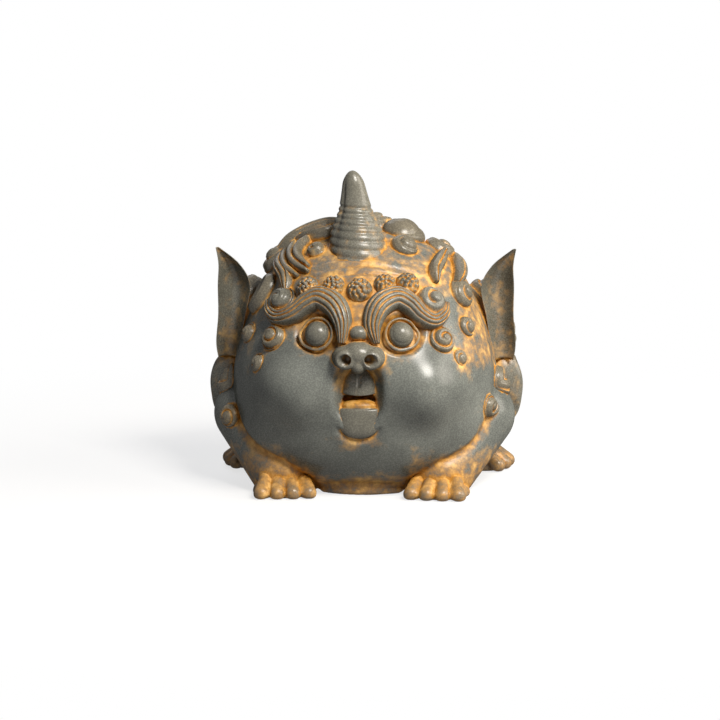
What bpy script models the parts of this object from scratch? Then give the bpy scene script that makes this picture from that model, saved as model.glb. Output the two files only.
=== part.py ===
"""Pixiu statue: a hollow stoneware body with horn, ears, brows, curls, wings and paws luted on.

Metres, Z up, face towards -Y, the statue's own left side on +X. The foot stands on Z = 0.
The body is one rounded form; every luted piece is seated on its skin, trimmed to that skin and to
the pieces laid before it, and keeps one slip layer of room at each seam.
"""
import math

import bmesh
import bpy
import numpy as np
from mathutils import Matrix, Vector

MM = 0.001

# Seams
SLIP_GAP = 0.3 * MM
SINK = 1.6 * MM

# Head ball, trunk and foot
HEAD_WIDTH = 67 * MM
HEAD_DEPTH = 62 * MM
HEAD_HEIGHT = 65 * MM
HEAD_FORWARD = 7 * MM
HEAD_RAISE = 38 * MM
CROWN_WIDTH = 60 * MM
CROWN_DEPTH = 48 * MM
CROWN_HEIGHT = 43 * MM
CROWN_RAISE = 50 * MM
RUFF_WIDTH = 77 * MM
RUFF_DEPTH = 40 * MM
RUFF_HEIGHT = 34 * MM
RUFF_BACK = 9 * MM
RUFF_RAISE = 44 * MM
TRUNK_WIDTH = 75 * MM
TRUNK_DEPTH = 68 * MM
TRUNK_HEIGHT = 60 * MM
TRUNK_BACK = 5 * MM
TRUNK_RAISE = 25 * MM
WALL = 5 * MM

# Jaw, cheeks, legs and haunches, half of each pair given on the left side
JAW_WIDTH = 74 * MM
JAW_DEPTH = 60 * MM
JAW_HEIGHT = 54 * MM
JAW_FORWARD = 7 * MM
JAW_RAISE = 26 * MM
JAW_FULLNESS = 2.5
CHEEK_WIDTH = 25 * MM
CHEEK_DEPTH = 27 * MM
CHEEK_HEIGHT = 24 * MM
CHEEK_SPREAD = 16.6 * MM
CHEEK_FORWARD = 26.8 * MM
CHEEK_RAISE = 31.5 * MM
CHANNEL_RADIUS = 6.6 * MM
CHANNEL_FORWARD = 39.8 * MM
CHANNEL_TOP = 34 * MM
CHANNEL_LOW = 22 * MM
SHOULDER_RADIUS = 10 * MM
SHOULDER_SPREAD = 33 * MM
SHOULDER_FORWARD = 9 * MM
SHOULDER_RAISE = 20 * MM
ANKLE_RADIUS = 9.8 * MM
ANKLE_SPREAD = 22 * MM
ANKLE_FORWARD = 19.8 * MM
ANKLE_RAISE = 6 * MM
BELLY_WIDTH = 48 * MM
BELLY_FORWARD = 27.5 * MM
BELLY_HEIGHT = 12 * MM
HAUNCH_RADIUS = 15 * MM
HAUNCH_SPREAD = 25 * MM
HAUNCH_BACK = 17 * MM
HAUNCH_RAISE = 18 * MM

# Foot slab with its vent
PLATE_LENGTH = 40 * MM
PLATE_WIDTH = 36 * MM
PLATE_THICK = 3.5 * MM
PLATE_LEDGE = 2.5 * MM
VENT_RADIUS = 6 * MM

# Horn
HORN_TOP = 90 * MM
HORN_RADIUS = 8 * MM
HORN_BASE = -1.4 * MM
HORN_LEAN = -2.9 * MM
HORN_RINGS = 6
HORN_RING_DEPTH = 0.3 * MM

# Ears
EAR_RAISE = 34.5 * MM
EAR_HEIGHT = 32 * MM
EAR_SPREAD = 37.8 * MM
EAR_FORWARD = 1.6 * MM
EAR_WIDTH = 9.4 * MM
EAR_CUP = 4.6 * MM
EAR_THICK = 2.6 * MM

# Face pieces
BROW_WIDTH = 7.8 * MM
BROW_HEIGHT = 3.5 * MM
EYE_SPREAD = 11.4 * MM
EYE_RAISE = 46.9 * MM
EYEBALL_RADIUS = 3.6 * MM
LID_RADIUS = 4.8 * MM
LID_THICK = 0.6 * MM
NOSE_WIDTH = 13.4 * MM
NOSE_HEIGHT = 8.2 * MM
NOSE_RAISE = 41.2 * MM
NOSE_RISE = 4.6 * MM
NOSTRIL_RADIUS = 1.4 * MM
NOSE_BEAD_RADIUS = 2.7 * MM
LIP_WIDTH = 9 * MM
LIP_HEIGHT = 3.2 * MM
LIP_RISE = 3.2 * MM
MOUTH_RAISE = 29.2 * MM
MOUTH_OPENING = 3.4 * MM
MOUTH_DEPTH = 3 * MM
CHIN_WIDTH = 11 * MM
CHIN_HEIGHT = 9 * MM
CHIN_RISE = 3.6 * MM
BEAD_RADIUS = 3.2 * MM
BEAD_PITCH = 6.9 * MM
BEAD_RAISE = 59.2 * MM

# Hair
CURL_HEIGHT_RATIO = 0.85
CHEEK_CURL_RADIUS = 3.9 * MM
CROWN_CURL_RADIUS = 5.8 * MM
MANE_CURL_RADIUS = 7 * MM
LOCK_WIDTH = 7 * MM
LOCK_HEIGHT = 4.5 * MM
CROWN_LOCK_WIDTH = 12 * MM
CROWN_LOCK_HEIGHT = 4.4 * MM

# Wings, paws and tail
WING_PROUD = 7.8 * MM
WING_SWING = 80.0
FEATHER_LENGTH = 21 * MM
FEATHER_COUNT = 4
PAW_SPREAD = 21.4 * MM
PAW_WIDTH = 19 * MM
PAW_LENGTH = 17 * MM
PAW_HEIGHT = 7.6 * MM
TOE_RADIUS = 2.7 * MM
TOE_COUNT = 4
HIND_PAW_LENGTH = 15 * MM
TAIL_HEIGHT = 40 * MM
TAIL_WIDTH = 26 * MM
TAIL_PROUD = 6 * MM
TUFT_COUNT = 5

FRONT, LEFT, UP = Vector((0, -1, 0)), Vector((1, 0, 0)), Vector((0, 0, 1))

# One step of the layout: places that are read off the face are counted in 67ths of the head's width
STEP = HEAD_WIDTH / 67
HEART = Vector((0, -2 * STEP, 30 * STEP))
NEAR_HEART, FAR_OFF = 5 * STEP, 80 * STEP

# Fillets between the forms of the body
SKULL_BLEND = 6 * STEP
RUFF_BLEND = 3 * STEP
JAW_BLEND = 8 * STEP
CHEEK_BLEND = 5 * STEP
CHANNEL_BLEND = 2 * STEP
HULL_BLEND = 5 * STEP
LIMB_BLEND = 1.2 * STEP
FOOT_BLEND = 1.2 * STEP
SKIN_FACETS = 0.155

FINISHES = {
    "iron_glaze": ((0.105, 0.107, 0.103, 1.0), 0.42, 0.45),
    "iron_glaze_relief": ((0.17, 0.165, 0.145, 1.0), 0.4, 0.4),
    "rust_hair_glaze": ((0.2, 0.135, 0.065, 1.0), 0.48, 0.25),
    "rust_wash": ((0.42, 0.22, 0.07, 1.0), 0.55, 0.1),
    "bare_clay": ((0.36, 0.22, 0.12, 1.0), 0.85, 0.0),
}


# The form of the body

def smooth_min(first, second, blend):
    """Union of two distance fields with a fillet of about the blend size."""
    overlap = np.maximum(blend - np.abs(first - second), 0.0) / blend
    return np.minimum(first, second) - overlap * overlap * blend / 4.0


def ellipsoid_field(points, centre, radii, fullness=2.0):
    """Distance, close to the surface, to an ellipsoid; fullness above 2 fills out its corners."""
    scaled = np.abs((points - np.array(centre)) / np.array(radii))
    near = np.maximum((scaled ** fullness).sum(axis=1) ** (1 / fullness), 1e-9)
    slope = np.linalg.norm((scaled / near[:, None]) ** (fullness - 1) / np.array(radii), axis=1)
    return (near - 1.0) / np.maximum(slope, 1e-9)


def limb_field(points, start, end, start_radius, end_radius):
    """Distance from points to a limb that tapers from one ball to another."""
    start, end = np.array(start), np.array(end)
    along = end - start
    share = np.clip((points - start) @ along / (along @ along), 0.0, 1.0)
    axis = start + share[:, None] * along
    radius = start_radius + share * (end_radius - start_radius)
    return np.linalg.norm(points - axis, axis=1) - radius


def body_field(points):
    """Distance from points to the skin of the body, negative inside."""
    sided = points.copy()
    sided[:, 0] = np.abs(sided[:, 0])
    head = ellipsoid_field(
        sided,
        (0, -HEAD_FORWARD, HEAD_RAISE),
        (HEAD_WIDTH / 2, HEAD_DEPTH / 2, HEAD_HEIGHT / 2))
    crown = ellipsoid_field(
        sided,
        (0, HEART.y, CROWN_RAISE),
        (CROWN_WIDTH / 2, CROWN_DEPTH / 2, CROWN_HEIGHT / 2))
    ruff = ellipsoid_field(
        sided,
        (0, RUFF_BACK, RUFF_RAISE),
        (RUFF_WIDTH / 2, RUFF_DEPTH / 2, RUFF_HEIGHT / 2))
    jaw = ellipsoid_field(
        sided,
        (0, -JAW_FORWARD, JAW_RAISE),
        (JAW_WIDTH / 2, JAW_DEPTH / 2, JAW_HEIGHT / 2),
        JAW_FULLNESS)
    cheek_centre = (CHEEK_SPREAD, -CHEEK_FORWARD, CHEEK_RAISE)
    cheek = ellipsoid_field(sided, cheek_centre, (CHEEK_WIDTH / 2, CHEEK_DEPTH / 2, CHEEK_HEIGHT / 2))
    channel = limb_field(
        sided,
        (0, -CHANNEL_FORWARD, CHANNEL_TOP),
        (0, -CHANNEL_FORWARD, CHANNEL_LOW),
        CHANNEL_RADIUS,
        CHANNEL_RADIUS)
    trunk = ellipsoid_field(
        sided,
        (0, TRUNK_BACK, TRUNK_RAISE),
        (TRUNK_WIDTH / 2, TRUNK_DEPTH / 2, TRUNK_HEIGHT / 2))
    leg = limb_field(
        sided,
        (SHOULDER_SPREAD, -SHOULDER_FORWARD, SHOULDER_RAISE),
        (ANKLE_SPREAD, -ANKLE_FORWARD, ANKLE_RAISE),
        SHOULDER_RADIUS,
        ANKLE_RADIUS)
    belly = ellipsoid_field(sided, (0, 0, 0), (BELLY_WIDTH / 2, BELLY_FORWARD, BELLY_HEIGHT))
    haunch_centre = (HAUNCH_SPREAD, HAUNCH_BACK, HAUNCH_RAISE)
    haunch = ellipsoid_field(sided, haunch_centre, (HAUNCH_RADIUS, HAUNCH_RADIUS * 1.15, HAUNCH_RAISE))
    skull = smooth_min(smooth_min(head, crown, SKULL_BLEND), ruff, RUFF_BLEND)
    face = smooth_min(smooth_min(skull, jaw, JAW_BLEND), cheek, CHEEK_BLEND)
    face = -smooth_min(-face, channel, CHANNEL_BLEND)
    hull = smooth_min(smooth_min(face, trunk, HULL_BLEND), haunch, RUFF_BLEND)
    hull = smooth_min(hull, belly, LIMB_BLEND)
    hull = smooth_min(hull, leg, LIMB_BLEND)
    return -smooth_min(-hull, sided[:, 2], FOOT_BLEND)


def march(starts, directions, near, far):
    """Points where lines from inside the body leave its skin."""
    low = np.full(len(starts), near)
    high = np.full(len(starts), far)
    for _ in range(36):
        middle = (low + high) / 2
        outside = body_field(starts + directions * middle[:, None]) > 0
        high = np.where(outside, middle, high)
        low = np.where(outside, low, middle)
    return starts + directions * high[:, None]


def skin_normal(point):
    """Outward direction of the skin at a point."""
    step = 0.05 * MM
    offsets = np.concatenate([np.eye(3), -np.eye(3)]) * step
    values = body_field(np.array(point)[None, :] + offsets)
    return Vector(values[:3] - values[3:]).normalized()


def face_point(x, z):
    """Skin point seen at a place on the face, looking straight at the statue."""
    start = np.array([[x, -NEAR_HEART, z]])
    return Vector(march(start, np.array([FRONT]), 0.0, FAR_OFF)[0])


def ray_point(azimuth, elevation):
    """Skin point in a direction from the middle of the body; azimuth 0 is the face, 90 the left side."""
    turn, rise = math.radians(azimuth), math.radians(elevation)
    flat = math.cos(rise)
    direction = np.array([[math.sin(turn) * flat, -math.cos(turn) * flat, math.sin(rise)]])
    return Vector(march(np.array([HEART]), direction, NEAR_HEART, FAR_OFF)[0])


def seat(point, spin=0.0):
    """Frame on the skin: local Z points out and local Y up the skin, turned by spin degrees."""
    outward = skin_normal(point)
    upward = UP if abs(outward.z) < 0.95 else FRONT
    side = upward.cross(outward).normalized()
    frame = Matrix((side, outward.cross(side), outward)).transposed().to_4x4()
    return Matrix.Translation(point) @ frame @ Matrix.Rotation(math.radians(spin), 4, "Z")


# Building and trimming solids

def new_solid(name, bm, finish, place=None):
    """Object made from a bmesh, with its finish, standing at a place."""
    bmesh.ops.recalc_face_normals(bm, faces=bm.faces[:])
    if bm.calc_volume(signed=True) < 0:
        bmesh.ops.reverse_faces(bm, faces=bm.faces[:])
    mesh = bpy.data.meshes.new(name)
    bm.to_mesh(mesh)
    bm.free()
    solid = bpy.data.objects.new(name, mesh)
    bpy.context.scene.collection.objects.link(solid)
    solid.matrix_world = place if place else Matrix.Identity(4)
    mesh.materials.append(finish_material(finish))
    return solid


def finish_material(name):
    """Principled material of a finish."""
    material = bpy.data.materials.get(name)
    if material is None:
        colour, roughness, metallic = FINISHES[name]
        material = bpy.data.materials.new(name)
        material.use_nodes = True
        shader = material.node_tree.nodes["Principled BSDF"]
        shader.inputs["Base Color"].default_value = colour
        shader.inputs["Roughness"].default_value = roughness
        shader.inputs["Metallic"].default_value = metallic
        material.diffuse_color = colour
    return material


def settle(solid):
    """Replace a solid's mesh by the result of its modifiers."""
    bpy.context.view_layer.update()
    graph = bpy.context.evaluated_depsgraph_get()
    result = bpy.data.meshes.new_from_object(solid.evaluated_get(graph))
    worn = solid.data
    solid.modifiers.clear()
    solid.data = result
    result.name = solid.name
    bpy.data.meshes.remove(worn)


def combine(solid, other, operation, keep_other=False):
    """Join another solid to this one, or cut it away."""
    step = solid.modifiers.new(operation.lower(), "BOOLEAN")
    step.operation = operation
    step.solver = "EXACT"
    step.object = other
    settle(solid)
    if not keep_other:
        bpy.data.objects.remove(other, do_unlink=True)


def drop_offcuts(solid):
    """Keep the largest body of a trimmed solid and drop the crumbs that the trim left."""
    bm = bmesh.new()
    bm.from_mesh(solid.data)
    bmesh.ops.remove_doubles(bm, verts=bm.verts[:], dist=0.01 * MM)
    unseen = set(bm.verts)
    bodies = []
    while unseen:
        body = {unseen.pop()}
        edge_of_body = list(body)
        while edge_of_body:
            vertex = edge_of_body.pop()
            for edge in vertex.link_edges:
                other = edge.other_vert(vertex)
                if other in unseen:
                    unseen.discard(other)
                    body.add(other)
                    edge_of_body.append(other)
        bodies.append(body)
    bodies.sort(key=body_span)
    crumbs = [vertex for body in bodies[:-1] for vertex in body]
    bmesh.ops.delete(bm, geom=crumbs, context="VERTS")
    bm.to_mesh(solid.data)
    bm.free()


def body_span(body):
    """Size of a set of vertices, along its longest direction."""
    places = np.array([vertex.co for vertex in body])
    return float(np.ptp(places, axis=0).max())


def grown_copy(solid, amount):
    """Copy of a solid with its skin moved out by an amount."""
    bm = bmesh.new()
    bm.from_mesh(solid.data)
    bm.normal_update()
    moves = [vertex.normal * min(vertex.calc_shell_factor(), 1.6) * amount for vertex in bm.verts]
    for vertex, move in zip(bm.verts, moves):
        vertex.co += move
    mesh = bpy.data.meshes.new(solid.name + "_room")
    bm.to_mesh(mesh)
    bm.free()
    room = bpy.data.objects.new(mesh.name, mesh)
    bpy.context.scene.collection.objects.link(room)
    room.matrix_world = solid.matrix_world
    return room


def mirrored_copy(solid, name):
    """The piece of the right side, mirrored from the one of the left side."""
    bm = bmesh.new()
    bm.from_mesh(solid.data)
    bmesh.ops.transform(bm, matrix=Matrix.Scale(-1, 4, LEFT) @ solid.matrix_world, verts=bm.verts[:])
    bmesh.ops.reverse_faces(bm, faces=bm.faces[:])
    return new_solid(name, bm, solid.data.materials[0].name)


def corners(solid):
    """Lowest and highest corner of a solid in the frame of the statue."""
    places = np.array([solid.matrix_world @ vertex.co for vertex in solid.data.vertices])
    return places.min(axis=0), places.max(axis=0)


def near_each_other(first, second):
    """True where the boxes of two solids come within a slip layer of each other."""
    low_a, high_a = corners(first)
    low_b, high_b = corners(second)
    return bool(np.all(low_a - 2 * SLIP_GAP < high_b) and np.all(low_b - 2 * SLIP_GAP < high_a))


# Blanks that the pieces are shaped from

def dome_blank(around, rows):
    """Unit ball with its poles on Z."""
    bm = bmesh.new()
    bmesh.ops.create_uvsphere(bm, u_segments=around, v_segments=rows, radius=1.0)
    return bm


def tube_blank(sides, rings):
    """Unit tube along Z from 0 to 1, with closed ends and a row of vertices at every ring."""
    bm = bmesh.new()
    lift = Matrix.Translation((0, 0, 0.5))
    bmesh.ops.create_cone(
        bm, cap_ends=True, segments=sides, radius1=1.0, radius2=1.0, depth=1.0, matrix=lift)
    uprights = [edge for edge in bm.edges if abs(edge.verts[0].co.z - edge.verts[1].co.z) > 0.5]
    bmesh.ops.subdivide_edges(bm, edges=uprights, cuts=rings - 1)
    return bm


def reshape(bm, shape):
    """Move every vertex of a blank to the place that the shape gives it."""
    for vertex in bm.verts:
        vertex.co = shape(vertex.co.copy())
    return bm


def curve_through(points, share):
    """Point on a smooth curve through the given points, share running from 0 to 1."""
    place = min(max(share, 0.0), 1.0) * (len(points) - 1)
    index = min(int(place), len(points) - 2)
    part = place - index
    before, start, end, after = (
        Vector(points[min(max(index + step, 0), len(points) - 1)]) for step in (-1, 0, 1, 2))
    bend = (end - before) * 0.5
    leave = (after - start) * 0.5
    square, cube = part * part, part * part * part
    return (start * (2 * cube - 3 * square + 1) + bend * (cube - 2 * square + part)
            + end * (3 * square - 2 * cube) + leave * (cube - square))


def value_along(values, share):
    """Value between evenly spaced ones, share running from 0 to 1."""
    return float(np.interp(share, np.linspace(0.0, 1.0, len(values)), values))


# Body and foot

def build_skin():
    """Closed solid with the outer form of the body."""
    bm = bmesh.new()
    bmesh.ops.create_icosphere(bm, subdivisions=6, radius=1.0)
    directions = np.array([vertex.co.normalized() for vertex in bm.verts])
    places = march(np.tile(np.array(HEART), (len(directions), 1)), directions, NEAR_HEART, FAR_OFF)
    for vertex, place in zip(bm.verts, places):
        vertex.co = place
    skin = new_solid("body_shell", bm, "iron_glaze")
    thin = skin.modifiers.new("fewer_facets", "DECIMATE")
    thin.ratio = SKIN_FACETS
    settle(skin)
    return skin


def build_cavity():
    """Inside of the body, one wall in from the skin."""
    bm = bmesh.new()
    bmesh.ops.create_icosphere(bm, subdivisions=3, radius=1.0)
    directions = np.array([vertex.co.normalized() for vertex in bm.verts])
    places = march(np.tile(np.array(HEART), (len(directions), 1)), directions, NEAR_HEART, FAR_OFF)
    for vertex, place, direction in zip(bm.verts, places, directions):
        slant = max(Vector(direction).dot(skin_normal(place)), 0.45)
        vertex.co = Vector(place) - Vector(direction) * WALL / slant
    bmesh.ops.smooth_vert(bm, verts=bm.verts[:], factor=0.5, use_axis_x=True, use_axis_y=True, use_axis_z=True)
    return new_solid("cavity", bm, "bare_clay")


def oval(name, width, length, low, high, finish="bare_clay"):
    """Upright oval solid between two heights, on the middle line of the foot."""
    bm = bmesh.new()
    shape = Matrix.Diagonal((width / 2, length / 2, high - low, 1.0))
    place = Matrix.Translation((0, 0, (low + high) / 2)) @ shape
    bmesh.ops.create_cone(
        bm, cap_ends=True, segments=28, radius1=1.0, radius2=1.0, depth=1.0, matrix=place)
    return new_solid(name, bm, finish)


def hollow_out(body):
    """Cut the inside, the foot opening with its ledge and the mouth out of the body."""
    combine(body, build_cavity(), "DIFFERENCE")
    inner = 2 * PLATE_LEDGE
    opening = oval("opening", PLATE_WIDTH - inner, PLATE_LENGTH - inner, -WALL, 3 * WALL)
    combine(body, opening, "DIFFERENCE")
    rebate = oval("rebate", PLATE_WIDTH, PLATE_LENGTH, -WALL, PLATE_THICK)
    combine(body, rebate, "DIFFERENCE")
    bm = bmesh.new()
    bmesh.ops.create_cube(bm, size=1.0)
    middle = face_point(0, MOUTH_RAISE)
    size = Matrix.Diagonal((LIP_WIDTH, 2 * MOUTH_DEPTH, MOUTH_OPENING, 1.0))
    mouth = new_solid("mouth", bm, "rust_wash", Matrix.Translation(middle) @ size)
    combine(body, mouth, "DIFFERENCE")


def build_base_plate():
    """Oval slab that closes the foot, with the vent hole of the kiln."""
    slack = 2 * SLIP_GAP
    plate = oval("base_plate", PLATE_WIDTH - slack, PLATE_LENGTH - slack, 0.0, PLATE_THICK - SLIP_GAP)
    vent = oval("vent", 2 * VENT_RADIUS, 2 * VENT_RADIUS, -WALL, WALL)
    combine(plate, vent, "DIFFERENCE")
    return plate


# Face

def horn_frame(share):
    """Centre, radius and share of the horn at a height; it leans a little to its right."""
    foot = face_point(0, HEAD_RAISE + 0.42 * HEAD_HEIGHT)
    root = Vector((HORN_BASE, foot.y + 0.75 * HORN_RADIUS, foot.z - 0.55 * HORN_RADIUS))
    tip = Vector((HORN_LEAN, root.y + 0.3 * HORN_RADIUS, HORN_TOP))
    centre = root.lerp(tip, share)
    centre.y += 0.25 * HORN_RADIUS * math.sin(math.pi * share)
    return centre, value_along((0.93, 0.99, 1.0, 0.99, 0.93, 0.8, 0.63, 0.52, 0.44, 0.37, 0.31), share)


def build_horn():
    """Blunt horn with rings round its lower part."""
    def shape(point):
        centre, swell = horn_frame(point.z)
        radius = HORN_RADIUS * swell
        ringed = math.sin(math.pi * min(point.z / 0.85, 1.0)) ** 0.5
        ripple = HORN_RING_DEPTH * ringed * math.cos(2 * math.pi * HORN_RINGS * point.z)
        rounding = math.sqrt(max(1.0 - max(point.z - 0.9, 0.0) / 0.1, 0.12))
        reach = (radius + ripple) * rounding
        return centre + Vector((point.x * reach, point.y * reach * 0.92, 0))
    return new_solid("horn", reshape(tube_blank(16, 14), shape), "iron_glaze_relief")


def build_brow(name, path, ball_place, ball_width):
    """Grooved scroll over an eye, from the bridge of the nose out to its volute and ball."""
    width = (0.5, 0.74, 0.95, 1.0, 0.94, 0.78, 0.62, 0.5, 0.42, 0.36)
    ridges = (0.3, 0.85, 0.66, 0.9, 1.0, 0.9, 0.66, 0.85, 0.3)
    step = 0.02

    def station(share):
        spot = curve_through([(x * STEP, 0.0, z * STEP) for x, z in path], share)
        return face_point(spot.x, spot.z)

    def shape(point):
        share = point.z
        middle = min(max(share, step), 1.0 - step)
        behind, here, ahead = station(middle - step), station(share), station(middle + step)
        along = ahead - behind
        sagitta = (station(middle) - (ahead + behind) / 2).length
        bend = along.length_squared / (8 * max(sagitta, 0.001 * MM))
        outward = skin_normal(here)
        across = outward.cross(along).normalized()
        turn = round(math.degrees(math.atan2(point.y, point.x)) / 30) % 12
        half = min(BROW_WIDTH / 2 * value_along(width, share), 0.85 * bend)
        if turn < len(ridges):
            return here + across * half * (turn / 4 - 1) + outward * BROW_HEIGHT * ridges[turn]
        return here + across * half * (0.7 * (10 - turn)) - outward * SINK
    brow = new_solid(name, reshape(tube_blank(12, 22), shape), "iron_glaze_relief")
    ball = build_pad(
        "ball", ball_place[0] * STEP, ball_place[1] * STEP, ball_width, ball_width, BROW_HEIGHT, "iron_glaze_relief")
    combine(brow, ball, "UNION")
    return brow


def build_brows():
    """Both brows; the left one rolls in further, the right one holds a larger ball."""
    left = [(4.7, 45.0), (3.6, 49.6), (5.2, 54.0), (9.4, 56.2), (13.2, 54.6), (16.4, 51.4),
            (19.6, 49.6), (22.4, 51.4), (23.0, 55.0), (20.8, 57.9)]
    right = [(-4.4, 45.0), (-4.4, 50.0), (-6.6, 54.2), (-10.6, 56.0), (-14.0, 54.6), (-17.8, 51.6),
             (-21.8, 49.9), (-24.8, 51.4), (-25.4, 54.6), (-23.4, 57.4)]
    left_brow = build_brow("left_brow", left, (19.4, 54.5), 0.9 * BROW_WIDTH)
    right_brow = build_brow("right_brow", right, (-21.2, 54.5), 0.9 * BROW_WIDTH)
    return [left_brow, right_brow]


def build_eye():
    """Eyeball and the ring of clay round it, for the left eye."""
    place = seat(face_point(EYE_SPREAD, EYE_RAISE))
    ball = reshape(
        dome_blank(14, 8),
        lambda p: Vector((p.x, p.y, p.z * (0.75 if p.z > 0 else 0.5))) * EYEBALL_RADIUS)
    eyeball = new_solid("left_eyeball", ball, "iron_glaze_relief", place)
    middle = LID_RADIUS - LID_THICK / 2

    def ring(point):
        turn = math.atan2(point.y, point.x)
        across, lift = math.cos(turn), math.sin(turn)
        round_eye = 2 * math.pi * point.z
        reach = middle + LID_THICK * across
        height = LID_THICK * 1.9 * max(lift, 0.0) - SINK * max(-lift, 0.0)
        return Vector((math.cos(round_eye) * reach, math.sin(round_eye) * reach, height))
    bm = tube_blank(6, 18)
    ends = [face for face in bm.faces if len(face.verts) == 6]
    bmesh.ops.delete(bm, geom=ends, context="FACES_ONLY")
    reshape(bm, ring)
    bmesh.ops.remove_doubles(bm, verts=bm.verts[:], dist=0.05 * MM)
    return eyeball, new_solid("left_eyelid", bm, "iron_glaze_relief", place)


def build_nose():
    """Broad nose with two nostril bulbs, each with its hole."""
    place = seat(face_point(0, NOSE_RAISE))
    half = Vector((NOSE_WIDTH / 2, NOSE_HEIGHT / 2, NOSE_RISE))

    def bridge_shape(point):
        taper = 1.0 if point.y > 0 else 1.0 + 0.45 * point.y
        height = half.z * (point.z if point.z > 0 else 0.35 * point.z)
        return Vector((point.x * half.x * 0.72 * taper, point.y * half.y, height))
    nose = new_solid("nose", reshape(dome_blank(12, 8), bridge_shape), "iron_glaze_relief", place)
    for side in (-1, 1):
        bulb_radius = NOSE_WIDTH * 0.22
        spot = Vector((side * (half.x - bulb_radius), -0.05 * NOSE_HEIGHT, 0.3 * NOSE_RISE))
        bulb_shape = Matrix.Diagonal((bulb_radius, bulb_radius, NOSE_RISE * 0.62, 1.0))
        bulb = new_solid("bulb", dome_blank(12, 6), "iron_glaze_relief")
        bulb.data.transform(Matrix.Translation(spot) @ bulb_shape)
        bulb.matrix_world = place
        combine(nose, bulb, "UNION")
        hole = tube_blank(8, 1)
        reshape(hole, lambda p: Vector((p.x * NOSTRIL_RADIUS, p.y * NOSTRIL_RADIUS, p.z * NOSE_RISE)))
        entry = Matrix.Translation((side * NOSE_WIDTH * 0.25, -0.06 * NOSE_HEIGHT, 0.42 * NOSE_RISE))
        nostril = new_solid("nostril", hole, "rust_wash", place @ entry)
        combine(nose, nostril, "DIFFERENCE")
    return nose


def build_pad(name, x, z, width, height, rise, finish, square=2.0, spin=0.0):
    """Cushion of clay on the face; square above 2 makes its outline fuller at the corners."""
    place = seat(face_point(x, z), spin)

    def shape(point):
        flat = math.hypot(point.x, point.y)
        fuller = 1.0
        if flat > 1e-6:
            fuller = flat / (abs(point.x) ** square + abs(point.y) ** square) ** (1 / square)
        lift = rise * point.z if point.z > 0 else SINK * point.z
        return Vector((point.x * fuller * width / 2, point.y * fuller * height / 2, lift))
    return new_solid(name, reshape(dome_blank(12, 8), shape), finish, place)


def build_lips():
    """Upper lip over the mouth and the lower lip under it."""
    upper = build_pad(
        "upper_lip", 0, MOUTH_RAISE + MOUTH_OPENING / 2 + LIP_HEIGHT / 2, LIP_WIDTH, LIP_HEIGHT,
        LIP_RISE, "iron_glaze_relief", 3.0)
    lower = build_pad(
        "lower_lip", 0, MOUTH_RAISE - MOUTH_OPENING / 2 - CHIN_HEIGHT / 2, CHIN_WIDTH, CHIN_HEIGHT,
        CHIN_RISE, "iron_glaze_relief", 2.8)
    return [upper, lower]


def build_beads():
    """Row of five round sprigs across the forehead and the one on the bridge of the nose."""
    sizes = (0.9, 1.0, 1.1, 1.0, 0.9)
    beads = []
    for index, size in enumerate(sizes):
        width = 2 * BEAD_RADIUS * size
        spot = (index - 2) * BEAD_PITCH
        sag = 0.1 * BEAD_RADIUS * abs(index - 2)
        beads.append(build_pad(
            f"forehead_bead_{index + 1}", spot, BEAD_RAISE - sag, width, width, 0.45 * width, "rust_hair_glaze"))
    bridge = NOSE_RAISE + NOSE_HEIGHT / 2 + NOSE_BEAD_RADIUS * 0.75
    beads.append(build_pad(
        "nose_bead", 0, bridge, 2 * NOSE_BEAD_RADIUS, 1.3 * NOSE_BEAD_RADIUS, 0.9 * NOSE_BEAD_RADIUS,
        "iron_glaze_relief"))
    return beads


# Hair

def build_curl(name, direction, radius, hand=1, lift=CURL_HEIGHT_RATIO):
    """Snail curl on the skin in a direction: a dome with a deep groove that winds in to its middle."""
    height = radius * lift
    large = radius > CROWN_CURL_RADIUS
    turns = 1.6

    def shape(point):
        reach = math.hypot(point.x, point.y)
        if point.z <= 0:
            return Vector((point.x * radius, point.y * radius, point.z * SINK * 1.5))
        wind = hand * math.atan2(point.y, point.x) + 2 * math.pi * turns * reach
        groove = 0.3 * min(3 * reach, 1.0) * (0.5 - 0.5 * math.cos(wind))
        return Vector((point.x * radius, point.y * radius, height * (point.z ** 0.8 - groove * point.z)))
    blank = dome_blank(14, 12) if large else dome_blank(10, 8)
    return new_solid(name, reshape(blank, shape), "rust_hair_glaze", seat(ray_point(*direction)))


def build_lock(name, directions, width, height, side_count=7):
    """Lock of hair along a line on the skin, thick in the middle and pointed at both ends."""
    stations = [ray_point(*direction) for direction in directions]

    def shape(point):
        here = curve_through(stations, point.z)
        ahead = curve_through(stations, point.z + 0.02) - curve_through(stations, point.z - 0.02)
        outward = skin_normal(here)
        across = outward.cross(ahead).normalized()
        swell = 0.25 + 0.75 * math.sin(math.pi * (0.1 + 0.8 * point.z))
        lift = height * point.y if point.y > 0 else SINK * point.y
        return here + across * point.x * width / 2 * swell + outward * lift * swell
    return new_solid(name, reshape(tube_blank(side_count, 8), shape), "rust_hair_glaze")


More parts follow.
